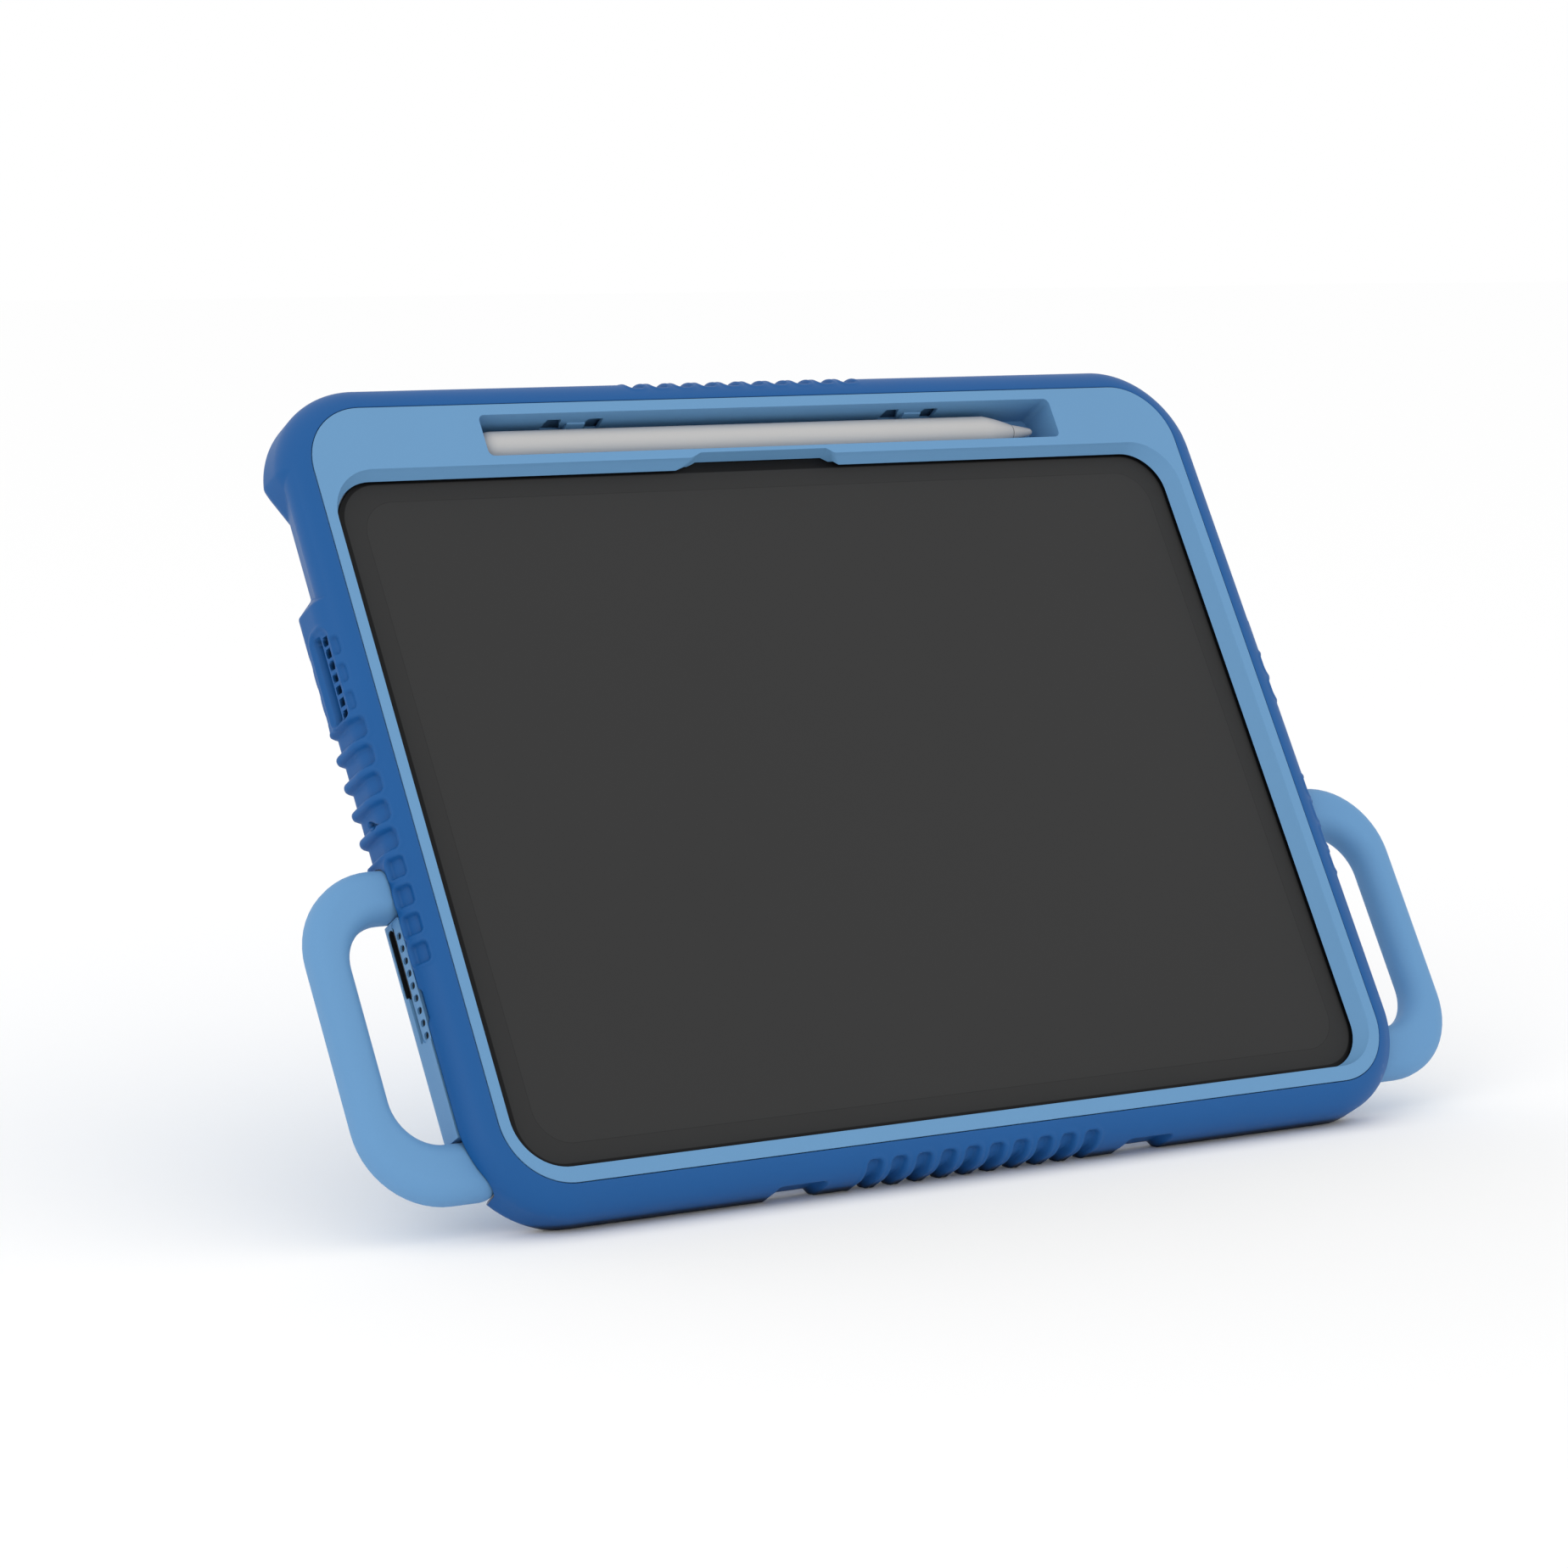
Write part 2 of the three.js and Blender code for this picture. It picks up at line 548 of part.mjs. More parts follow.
function housing() {
  const { back, wall, floor, glass } = TABLET;
  const top = -glass - GAP;
  const tub = stack([
    { outline: tabletOutline(-1.2), z: back },
    { outline: tabletOutline(-0.35), z: back + 0.35 },
    { outline: tabletOutline(0), z: back + 1.2 },
    { outline: tabletOutline(0), z: top },
  ]);
  const hollow = plate(tabletOutline(-wall), back + floor, 1);
  const cameraHole = rod("z", CAMERA.radius + GAP, back - 1, 0, CAMERA.x, CAMERA.y, 24);
  const portHole = box(
    TABLET.halfX - 3, TABLET.halfX + 1, -PORT.halfWidth - GAP, PORT.halfWidth + GAP,
    KEY_LEVEL - PORT.halfHeight - GAP, KEY_LEVEL + PORT.halfHeight + GAP,
  );
  const keyHoles = Object.values(KEYS).map((y) => box(
    KEY.pocket - 1, TABLET.halfX + 1, y - KEY.halfLength - GAP, y + KEY.halfLength + GAP,
    KEY_LEVEL - KEY.halfHeight - GAP, KEY_LEVEL + KEY.halfHeight + GAP,
  ));
  const soundSlit = (side, holes) => {
    const half = (holes.count * holes.pitch) / 2;
    return sideBox(
      side, TABLET.halfX - 3, TABLET.halfX + 1, holes.centre - half, holes.centre + half, -4.3, -3.5,
    );
  };
  return cut(
    tub, hollow, cameraHole, portHole, ...keyHoles, soundSlit(-1, LEFT_HOLES), soundSlit(1, RIGHT_HOLES),
    soundSlit(-1, POD_HOLES), soundSlit(1, POD_HOLES),
  );
}

const coverGlass = () => plate(tabletOutline(-0.3), -TABLET.glass, 0);

const displayPanel = () => plate(tabletOutline(-8), PARTS_FRONT + GAP, -TABLET.glass - GAP);

const inner = (x0, x1, y0, y1, back = PARTS_BACK, front = PARTS_FRONT) => box(x0, x1, y0, y1, back, front);

function usbPort() {
  const { inner: rear, outer, halfWidth, halfHeight, wall } = PORT;
  const sleeve = box(rear, outer, -halfWidth, halfWidth, KEY_LEVEL - halfHeight, KEY_LEVEL + halfHeight);
  const mouth = box(
    rear + 1, outer + 1, -halfWidth + wall, halfWidth - wall,
    KEY_LEVEL - halfHeight + wall, KEY_LEVEL + halfHeight - wall,
  );
  const tongue = box(rear + 0.5, outer - 1, -3, 3, KEY_LEVEL - 0.35, KEY_LEVEL + 0.35);
  return join(cut(sleeve, mouth), tongue);
}

// ---------------------------------------------------------------- assembly

const part = new THREE.Group();
const upright = new THREE.Group();
const mirrored = new THREE.Group();
const stand = new THREE.Group();
part.add(upright);
upright.add(mirrored, stand);
upright.rotation.x = Math.PI / 2 - LEAN;
upright.position.z = REST_DEPTH;
mirrored.scale.x = -1;
stand.position.set(0, STAND.hingeY, STAND.hingeZ);
stand.rotation.x = STAND_OPEN;

function place(name, body, material, group = upright) {
  const mesh = new THREE.Mesh(geometryOf(body), material);
  mesh.name = name;
  group.add(mesh);
}

place("bumper", bumper(), MATERIALS.bumper);
place("front_frame", frontFrame(), MATERIALS.shell);
place("rear_shell", rearShell(), MATERIALS.shell);

for (const [side, group] of [["right", upright], ["left", mirrored]]) {
  place(`handle_${side}`, handle(), MATERIALS.handle, group);
  place(`handle_pin_${side}`, handlePin(), MATERIALS.steel, group);
  place(`speaker_${side}_lower`, inner(88, 119, -54, -20), MATERIALS.black, group);
  place(`battery_${side}`, inner(4, 80, -72, 34), MATERIALS.cell, group);
  place(`stylus_magnet_${side}`, inner(26, 64, 83, 86.6), MATERIALS.steel, group);
}

place("speaker_left_upper", inner(-119, -88, 24, 56), MATERIALS.black);
place("speaker_right_upper", inner(88, 119, 7, 36), MATERIALS.black);

place("stand_plate", standPlate(), MATERIALS.shell, stand);
place("stand_pad", standPad(), MATERIALS.rubber, stand);
place("stand_pin", standPin(), MATERIALS.steel, stand);

place("stylus_barrel", stylusBarrel(), MATERIALS.stylus);
place("stylus_tip", stylusTip(), MATERIALS.stylus);
place("stylus_cell", stylusCell(), MATERIALS.cell);

for (const [name, y] of Object.entries(KEYS)) {
  const { halfLength, halfHeight } = KEY;
  place(`${name}_key`, box(
    KEY.inner, KEY.outer, y - halfLength, y + halfLength, KEY_LEVEL - halfHeight, KEY_LEVEL + halfHeight,
  ), MATERIALS.aluminium);
  place(`${name}_cover`, box(
    COVER.inner, COVER.outer, y - COVER.halfLength, y + COVER.halfLength,
    KEY_LEVEL - COVER.halfHeight, KEY_LEVEL + COVER.halfHeight,
  ), MATERIALS.bumper);
}

place("tablet_housing", housing(), MATERIALS.aluminium);
place("cover_glass", coverGlass(), MATERIALS.glass);
place("display_panel", displayPanel(), MATERIALS.display);
place("usb_port", usbPort(), MATERIALS.steel);
place("usb_flex", inner(84, PORT.inner - GAP, -6, 6, PARTS_BACK, PARTS_BACK + 0.4), MATERIALS.flex);
place("key_flex", inner(119.6, 120.2, 40, 70), MATERIALS.flex);
place("main_board", inner(-84, 84, 38, 79, PARTS_BACK, PARTS_BACK + 0.9), MATERIALS.board);
place("board_shield", inner(-50, 40, 44, 74, PARTS_BACK + 1.2, PARTS_FRONT), MATERIALS.steel);
place("processor", inner(50, 64, 52, 66, PARTS_BACK + 1.2, PARTS_BACK + 2.2), MATERIALS.black);
place("display_flex", inner(-14, 14, -84, -75, PARTS_BACK, PARTS_BACK + 0.4), MATERIALS.flex);
place("front_camera", rod("z", 2, PARTS_BACK, -TABLET.glass - GAP, 0, 85, 16), MATERIALS.black);
place("rear_camera", rod(
  "z", CAMERA.radius, CAMERA.back + 0.8, PARTS_FRONT, CAMERA.x, CAMERA.y, 24,
), MATERIALS.aluminium);
place("rear_lens", rod(
  "z", CAMERA.radius - 1, CAMERA.back, CAMERA.back + 0.8 - GAP, CAMERA.x, CAMERA.y, 24,
), MATERIALS.glass);
place("microphone", inner(-121.6, -118.6, 1.4, 5.4, PARTS_BACK, PARTS_BACK + 1.4), MATERIALS.black);

// The origin sits on the table, under the middle of the part's box.
const middle = new THREE.Box3().setFromObject(part, true).getCenter(new THREE.Vector3());
upright.position.y -= middle.y;

export default part;
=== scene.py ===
# %% [markdown]
# A tablet computer in a rugged case for children, standing on its own rear stand.
# The case is a soft dark bumper moulded round a hard light shell. A stylus lies in a slot above the
# screen, a grip handle swings on each side, and a stand folds out behind. The solid frame of the
# object, with its hinges, is packed already: this lesson builds the surfaces that are seen.
# Each piece is made at a workbench that lies flat, in the tablet's own directions and in
# millimetres, because a sloping object is awkward to measure. It is then stood up in one step.

import json
import math

import bmesh
import bpy
import numpy as np
from mathutils import Matrix, Vector


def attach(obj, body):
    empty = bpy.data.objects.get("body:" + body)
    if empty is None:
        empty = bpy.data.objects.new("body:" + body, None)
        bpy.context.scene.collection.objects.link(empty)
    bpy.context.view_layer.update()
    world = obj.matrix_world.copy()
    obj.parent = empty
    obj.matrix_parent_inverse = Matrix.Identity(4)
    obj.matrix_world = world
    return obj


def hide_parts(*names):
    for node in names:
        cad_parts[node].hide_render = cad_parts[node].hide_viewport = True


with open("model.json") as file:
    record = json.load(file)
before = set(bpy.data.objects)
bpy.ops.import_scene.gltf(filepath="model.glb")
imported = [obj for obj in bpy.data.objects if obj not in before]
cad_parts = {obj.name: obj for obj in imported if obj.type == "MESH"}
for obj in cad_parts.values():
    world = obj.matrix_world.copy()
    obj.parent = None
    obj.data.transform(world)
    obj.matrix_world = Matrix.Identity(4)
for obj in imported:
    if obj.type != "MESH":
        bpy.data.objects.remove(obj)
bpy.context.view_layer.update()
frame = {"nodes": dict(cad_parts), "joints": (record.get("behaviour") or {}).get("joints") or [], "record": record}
joints = {joint["name"]: joint for joint in frame["joints"]}
slots = {part["node"]: part["material_slot"] for part in frame["record"]["subparts"]}

# %% [markdown]
# The tablet's directions come from two joints. The handles swing on lines that run up the screen,
# and the stylus lifts straight out of the glass. Their cross product runs across the screen. The
# origin is the middle of the front of the cover glass.

# %% Find the tablet's own directions
MM = 0.001

up_screen = Vector(joints["handle_right_swing"]["axis"]).normalized()
out_of_glass = Vector(joints["stylus_lift"]["axis"]).normalized()
across = up_screen.cross(out_of_glass).normalized()


def reach(node, direction):
    """How far a CAD node reaches along a direction, in metres: its lowest and its highest place."""
    places = [direction.dot(vertex.co) for vertex in frame["nodes"][node].data.vertices]
    return min(places), max(places)


glass_reach = [reach("cover_glass", direction) for direction in (across, up_screen, out_of_glass)]
glass_centre = across * sum(glass_reach[0]) / 2 + up_screen * sum(glass_reach[1]) / 2
glass_centre += out_of_glass * glass_reach[2][1]
TURN = Matrix((across, up_screen, out_of_glass)).transposed().to_4x4()
STAND_UP = Matrix.Translation(glass_centre) @ TURN @ Matrix.Scale(MM, 4)


def span(node):
    """The lowest and highest corner of a CAD node in the tablet's directions, in millimetres."""
    pairs = []
    for direction in (across, up_screen, out_of_glass):
        low, high = reach(node, direction)
        start = direction.dot(glass_centre)
        pairs.append(((low - start) / MM, (high - start) / MM))
    return Vector(pair[0] for pair in pairs), Vector(pair[1] for pair in pairs)


case_low, case_high = span("bumper")
bezel_low, bezel_high = span("front_frame")
glass_low, glass_high = span("cover_glass")
print("case", [round(v, 1) for v in case_low], [round(v, 1) for v in case_high])
print("bezel", [round(v, 1) for v in bezel_low], [round(v, 1) for v in bezel_high])

# %% [markdown]
# Materials are written as small recipes. A socket is wrapped so that shader maths reads like
# ordinary sums, and every other node comes from one method. Numbers alone stay in Python.


# %% A way to write materials
class Socket:
    """An output socket in a recipe, or a sum made from one."""

    def __init__(self, recipe, link):
        self.recipe = recipe
        self.link = link

    def math(self, operation, *others):
        values = dict(enumerate((self,) + others))
        return self.recipe.node("ShaderNodeMath", {"operation": operation}, values)

    def __add__(self, other):
        return self.math("ADD", other)

    __radd__ = __add__

    def __mul__(self, other):
        return self.math("MULTIPLY", other)

    def __sub__(self, other):
        return self.math("SUBTRACT", other)

    def __rsub__(self, other):
        return self.recipe.node("ShaderNodeMath", {"operation": "SUBTRACT"}, {0: other, 1: self})

    def __truediv__(self, other):
        return self.math("DIVIDE", other)

    def clamped(self):
        return self.recipe.node("ShaderNodeClamp", {}, {"Value": self})


# how far round a point the painted crevice shade looks for surfaces that close it in
SHADE_REACH_MM = 2.6
COLOUR_MIX_INPUTS = (0, 6, 7)  # the factor and the two colours among a mix node's sockets
COLOUR_MIX_OUTPUT = 2


class Recipe:
    """A material in the making, with its Principled shader ready."""

    def __init__(self, name):
        self.material = bpy.data.materials.new(name)
        self.material.use_nodes = True
        self.tree = self.material.node_tree
        self.shader = self.tree.nodes["Principled BSDF"]

    def node(self, kind, settings, inputs, output=0):
        node = self.tree.nodes.new(kind)
        for name, value in settings.items():
            setattr(node, name, value)
        for name, value in inputs.items():
            self.feed(node.inputs[name], value)
        return Socket(self, node.outputs[output])

    def feed(self, socket, value):
        if isinstance(value, Socket):
            self.tree.links.new(value.link, socket)
        else:
            socket.default_value = value

    def place(self):
        return self.node("ShaderNodeTexCoord", {}, {}, output="Object")

    def noise(self, size_mm, detail=3.0, roughness=0.5):
        """Values about 0.5 that vary over a length of size_mm."""
        values = {"Vector": self.place(), "Scale": 1 / (size_mm * MM)}
        values.update({"Detail": detail, "Roughness": roughness})
        return self.node("ShaderNodeTexNoise", {}, values)

    def painted_crevice_shade(self):
        """Painted shade: how far a point is closed in by the surface round it, from 0 in the open to 1 deep in a
        narrow groove or hole.
        """
        values = {"Distance": SHADE_REACH_MM * MM}
        openness = self.node("ShaderNodeAmbientOcclusion", {"samples": 6}, values, output="AO")
        return ((0.7 - openness) * 2.2).clamped()

    def mix(self, factor, first, second):
        """A colour between two others, each given as a socket or as red, green and blue."""
        colours = (value if isinstance(value, Socket) else (*value, 1) for value in (first, second))
        blend = self.tree.nodes.new("ShaderNodeMix")
        blend.data_type = "RGBA"
        for place, value in zip(COLOUR_MIX_INPUTS, (factor, *colours)):
            self.feed(blend.inputs[place], value)
        return Socket(self, blend.outputs[COLOUR_MIX_OUTPUT])

    def bump(self, height, strength, distance_mm):
        values = {"Height": height, "Strength": strength, "Distance": distance_mm * MM}
        self.feed(self.shader.inputs["Normal"], self.node("ShaderNodeBump", {}, values))

    def set(self, **values):
        for name, value in values.items():
            self.feed(self.shader.inputs[name.replace("_", " ").title().replace("Ior", "IOR")], value)


def linear(red, green, blue):
    """A screen colour, 0 to 255, as the linear values that a shader works in."""
    def one(value):
        share = value / 255
        return share / 12.92 if share <= 0.04045 else ((share + 0.055) / 1.055) ** 2.4
    return one(red), one(green), one(blue)


# %% [markdown]
# The moulded plastics differ in colour and in surface. All of them have a fine grain from the
# eroded steel of their mould, a slight unevenness of tone, and edges that are handled more and so
# are a little smoother. The narrow grooves and holes of the bumper look nearly black, because
# little light leaves them again: that shade is painted into the bumper's colour. One function
# makes them, and each call names what differs.

# %% Moulded plastics
MATERIALS = {}


def moulded(slot_name, colour, spread, roughness, grain_mm, grain_depth_mm, shade_crevices=False):
    recipe = Recipe(slot_name)
    cloud = recipe.noise(38, detail=2.0)
    speck = recipe.noise(grain_mm, detail=2.0)
    darker = tuple(value * (1 - spread) for value in colour)
    lighter = tuple(min(1.0, value * (1 + spread)) for value in colour)
    tone = (cloud * 0.7 + speck * 0.3 - 0.2) * 1.6
    plain = recipe.mix(tone.clamped(), darker, lighter)
    if shade_crevices:
        # painted shade: grooves and holes are darkened in the colour, from ambient occlusion
        plain = recipe.mix(recipe.painted_crevice_shade(), plain, tuple(value * 0.08 for value in colour))
    recipe.set(base_color=plain)
    edge = recipe.node("ShaderNodeNewGeometry", {}, {}, output="Pointiness")
    handled = ((edge - 0.5) * 6).clamped()
    uneven = (cloud - 0.5) * 0.12 + (speck - 0.5) * 0.1
    recipe.set(roughness=(roughness + uneven - handled * 0.15).clamped())
    recipe.bump(speck, 0.6, grain_depth_mm)
    recipe.set(specular_ior_level=0.25)
    MATERIALS[slot_name] = recipe.material
    return recipe


BUMPER_BLUE = linear(18, 86, 149)
SHELL_BLUE = linear(102, 150, 192)
GRIP_BLUE = linear(102, 151, 196)

moulded("bumper_rubber", BUMPER_BLUE, 0.05, 0.5, 0.45, 0.02, shade_crevices=True)
moulded("light_shell", SHELL_BLUE, 0.025, 0.55, 0.35, 0.015)
moulded("light_grip", GRIP_BLUE, 0.03, 0.6, 0.5, 0.02)
moulded("pad_rubber", linear(40, 78, 122), 0.08, 0.8, 0.6, 0.04)
moulded("stylus_white", linear(192, 191, 190), 0.02, 0.42, 0.3, 0.006)
moulded("black_plastic", linear(26, 27, 30), 0.1, 0.45, 0.4, 0.01)
print("moulded", sorted(MATERIALS))

# %% [markdown]
# The switched-off screen is nearly black glass. A band along its very edge is painted still darker,
# as painted shade for the shadow under the frame's overhanging lip. A hairline shows where the
# picture area begins under the glass. Both are worked out from the distance to a rounded
# rectangle, so they need no picture. The maths uses the tablet's own directions.

# %% Screen glass
HAIRLINE_INSET = 7.8
HAIRLINE_CORNER = 9.0
HAIRLINE_WIDTH = 0.16
LIP_SHADE_HALF = (120.5, 85.7)  # half width and half height of the glass inside its painted lip shade
LIP_SHADE_CORNER = 10.5
LIP_SHADE_BLUR = 0.3


def along(recipe, direction):
    """How far a point is from the glass centre in a direction, in millimetres."""
    offset = recipe.node(
        "ShaderNodeVectorMath", {"operation": "SUBTRACT"}, {0: recipe.place(), 1: glass_centre},
    )
    distance = recipe.node(
        "ShaderNodeVectorMath", {"operation": "DOT_PRODUCT"}, {0: offset, 1: direction}, output="Value",
    )
    return distance / MM


def outside_rectangle(recipe, half_x, half_y, corner_radius):
    """Distance outside a rounded rectangle about the glass centre, negative inside it."""
    beyond_x = along(recipe, across).math("ABSOLUTE") - (half_x - corner_radius)
    beyond_y = along(recipe, up_screen).math("ABSOLUTE") - (half_y - corner_radius)
    outside_x = beyond_x.math("MAXIMUM", 0.0)
    outside_y = beyond_y.math("MAXIMUM", 0.0)
    corner = (outside_x * outside_x + outside_y * outside_y).math("SQRT")
    return corner + beyond_x.math("MAXIMUM", beyond_y).math("MINIMUM", 0.0) - corner_radius


def screen_glass(slot_name):
    recipe = Recipe(slot_name)
    sides = (glass_high.x - HAIRLINE_INSET, glass_high.y - HAIRLINE_INSET)
    distance = outside_rectangle(recipe, *sides, HAIRLINE_CORNER)
    surround = (distance / HAIRLINE_WIDTH).clamped()
    hairline = (1 - distance.math("ABSOLUTE") / HAIRLINE_WIDTH).clamped()
    # painted shade: the band along the glass's edge is darkened as the shadow under the frame's lip
    lip_shade = (outside_rectangle(recipe, *LIP_SHADE_HALF, LIP_SHADE_CORNER) / LIP_SHADE_BLUR).clamped()
    smear = recipe.noise(55, detail=2.0, roughness=0.6)
    shade = (surround * 0.12 + hairline * 0.38 + lip_shade + (smear - 0.5) * 0.03).clamped()
    recipe.set(base_color=recipe.mix(shade, linear(50, 50, 50), linear(12, 12, 13)))
    recipe.set(roughness=(0.5 + (smear - 0.5) * 0.14).clamped(), specular_ior_level=0.15)
    MATERIALS[slot_name] = recipe.material


screen_glass("dark_glass")
moulded("display", linear(20, 20, 22), 0.1, 0.4, 2.0, 0.004)

# %% [markdown]
# Metal and the parts inside. They are seen through the port, the lens window and the gaps, so each
# gets its own grain: brushed lines on steel, blasted aluminium, crinkled foil round the cells, and
# tracks on the circuit board.


# %% Metals and inner parts
def metal(slot_name, colour, roughness, stretch):
    recipe = Recipe(slot_name)
    lines = recipe.node("ShaderNodeMapping", {}, {"Vector": recipe.place(), "Scale": stretch})
    grain = recipe.node("ShaderNodeTexNoise", {}, {"Vector": lines, "Scale": 2500.0, "Detail": 3.0})
    dull = tuple(value * 0.86 for value in colour)
    recipe.set(base_color=recipe.mix(grain, dull, colour), metallic=1.0)
    recipe.set(roughness=(roughness + (grain - 0.5) * 0.25).clamped())
    recipe.bump(grain, 0.3, 0.01)
    MATERIALS[slot_name] = recipe.material


def patterned(slot_name, first, second, scale_mm, roughness, depth_mm):
    recipe = Recipe(slot_name)
    values = {"Vector": recipe.place(), "Scale": 1 / (scale_mm * MM)}
    cells = recipe.node("ShaderNodeTexVoronoi", {}, values)
    share = (cells * 1.4).clamped()
    recipe.set(base_color=recipe.mix(share, first, second), roughness=(roughness + share * 0.15).clamped())
    recipe.bump(share, 0.5, depth_mm)
    MATERIALS[slot_name] = recipe.material


metal("steel", linear(200, 203, 207), 0.3, (0.1, 1.0, 1.0))
metal("aluminium", linear(176, 180, 186), 0.42, (1.0, 1.0, 1.0))
patterned("cell_wrap", linear(34, 36, 40), linear(52, 54, 60), 3.5, 0.35, 0.05)
patterned("circuit_board", linear(22, 66, 46), linear(40, 98, 66), 1.6, 0.45, 0.03)
patterned("flex_film", linear(176, 112, 44), linear(206, 140, 62), 1.2, 0.35, 0.02)
for node_name, node_object in frame["nodes"].items():
    node_object.data.materials.clear()
    node_object.data.materials.append(MATERIALS[slots[node_name]])
print("materials", len(MATERIALS))

# %% [markdown]
# Tools for the workbench. An outline is a list of points round a shape. A stack is a closed body
# through such outlines at rising levels, which suits flat mouldings with rounded edges. Cutting is
# done with boolean modifiers that are applied at once, while the piece still lies flat in
# millimetres. Sharp edges are then eased with a bevel, as on a real moulding.

# %% Workbench tools
bench = bpy.context.scene.collection


def arc(centre_x, centre_y, radius, start, end, steps):
    angles = [math.radians(start + (end - start) * i / steps) for i in range(steps + 1)]
    return [(centre_x + radius * math.cos(a), centre_y + radius * math.sin(a)) for a in angles]


def rounded(x0, x1, y0, y1, radius, steps=10):
    """Points anticlockwise round a rectangle with rounded corners."""
    return [
        *arc(x1 - radius, y0 + radius, radius, -90, 0, steps),
        *arc(x1 - radius, y1 - radius, radius, 0, 90, steps),
        *arc(x0 + radius, y1 - radius, radius, 90, 180, steps),
        *arc(x0 + radius, y0 + radius, radius, 180, 270, steps),
    ]


def bench_object(name, vertices, faces):
    mesh = bpy.data.meshes.new(name)
    mesh.from_pydata(vertices, [], faces)
    bpy.context.view_layer.update()
    made = bpy.data.objects.new(name, mesh)
    bench.objects.link(made)
    return made


def stack(layers):
    """A closed body through outlines with the same number of points, lowest first."""
    count = len(layers[0][0])
    vertices = [(x, y, z) for outline, z in layers for x, y in outline]
    faces = [tuple(reversed(range(count)))]
    for level in range(len(layers) - 1):
        start = level * count
        for i in range(count):
            j = (i + 1) % count
            faces.append((start + i, start + j, start + count + j, start + count + i))
    faces.append(tuple(range((len(layers) - 1) * count, len(layers) * count)))
    return bench_object("stack", vertices, faces)


def slab(x0, x1, y0, y1, z0, z1, radius=0.6, ease=0.0, steps=6):
    """A flat body with rounded corners and, where ease is given, rounded top and bottom edges."""
    def inset(by):
        return rounded(x0 + by, x1 - by, y0 + by, y1 - by, max(0.02, radius - by), steps)
    if ease == 0:
        return stack([(inset(0), z0), (inset(0), z1)])
    turns = [math.radians(30 * i) for i in range(4)]
    low = [(inset(ease * (1 - math.sin(a))), z0 + ease * (1 - math.cos(a))) for a in turns]
    high = [(inset(ease * (1 - math.sin(a))), z1 - ease * (1 - math.cos(a))) for a in reversed(turns)]
    return stack(low + high)


def lathe(profile, sides=48):
    """A body turned about the x direction from points (along x, radius), closed flat at both ends."""
    vertices = []
    for x, r in profile:
        for i in range(sides):
            angle = 2 * math.pi * i / sides
            vertices.append((x, r * math.cos(angle), r * math.sin(angle)))
    faces = []
    for level in range(len(profile) - 1):
        for i in range(sides):
            j = (i + 1) % sides
            a, b = level * sides + i, level * sides + j
            faces.append((a, a + sides, b + sides, b))
    faces.append(tuple(range(sides)))
    faces.append(tuple(reversed(range((len(profile) - 1) * sides, len(profile) * sides))))
    return bench_object("lathe", vertices, faces)


def moved(piece, x=0.0, y=0.0, z=0.0):
    piece.data.transform(Matrix.Translation((x, y, z)))
    return piece


def turned(piece, degrees, axis):
    piece.data.transform(Matrix.Rotation(math.radians(degrees), 4, axis))
    return piece


def bake(piece):
    """Applies a piece's modifiers to its mesh."""
    depsgraph = bpy.context.evaluated_depsgraph_get()
    depsgraph.update()
    mesh = bpy.data.meshes.new_from_object(piece.evaluated_get(depsgraph))
    piece.modifiers.clear()
    piece.data = mesh
    return piece


def combine(piece, tools, operation):
    """Cuts tools from a piece or joins them to it, one after the other, and clears them away."""
    for tool in tools:
        modifier = piece.modifiers.new("combine", "BOOLEAN")
        modifier.operation = operation
        modifier.solver = "EXACT"
        modifier.object = tool
        bake(piece)
        bpy.data.objects.remove(tool)
    return piece


def cut(piece, *tools):
    return combine(piece, tools, "DIFFERENCE")


def join(piece, *tools):
    return combine(piece, tools, "UNION")


def soften(piece, width, segments=3, angle=38):
    modifier = piece.modifiers.new("soften", "BEVEL")
    modifier.width = width
    modifier.segments = segments
    modifier.limit_method = "ANGLE"
    modifier.angle_limit = math.radians(angle)
    modifier.miter_outer = "MITER_ARC"
    modifier.use_clamp_overlap = True
    return bake(piece)


def deliver(piece, name, body, slot_name, *nodes, sharp=40, weighted=True):
    """Stands a finished piece up in its place, gives it its material and lets it ride on its body."""
    piece.name = name
    piece.data.name = name
    mesh = piece.data
    mesh.transform(STAND_UP)
    work = bmesh.new()
    work.from_mesh(mesh)
    bmesh.ops.remove_doubles(work, verts=work.verts, dist=0.00001)
    bmesh.ops.recalc_face_normals(work, faces=work.faces)
    work.to_mesh(mesh)
    work.free()
    mesh.shade_smooth()
    mesh.set_sharp_from_angle(angle=math.radians(sharp))
    if weighted:
        modifier = piece.modifiers.new("even", "WEIGHTED_NORMAL")
        modifier.keep_sharp = True
        modifier.weight = 60
    mesh.materials.clear()
    mesh.materials.append(MATERIALS[slot_name])
    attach(piece, body)
    if nodes:
        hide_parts(*nodes)
    print(name, "faces", len(mesh.polygons))
    return piece

# %% [markdown]
# The bumper is one soft moulding, so it is made as one skin. Its cross-section, a wide roll in
# front, a straight side and a small roll at the heel, is carried round three rails: the outer edge,
# the seat of the hard frame, and the edge of the lip behind. The skin is dense enough for the
# grip grooves, the finger recesses and the sound holes to be pressed into it as smooth dents, which
# is how a soft moulding looks, with no hard cut edges.

# %% Sizes of the bumper
ROLL = 7.0  # radius of the front edge
HEEL = 3.0
FRONT = case_high.z
BACK = case_low.z
CORNER = 25.0
SEAT_GAP = 0.12
SEAT_FLOOR = -8.3
ROLL_MIDDLE = FRONT - ROLL
ROLL_LENGTH = ROLL * math.pi / 2
SIDE_LENGTH = ROLL_MIDDLE - BACK - HEEL

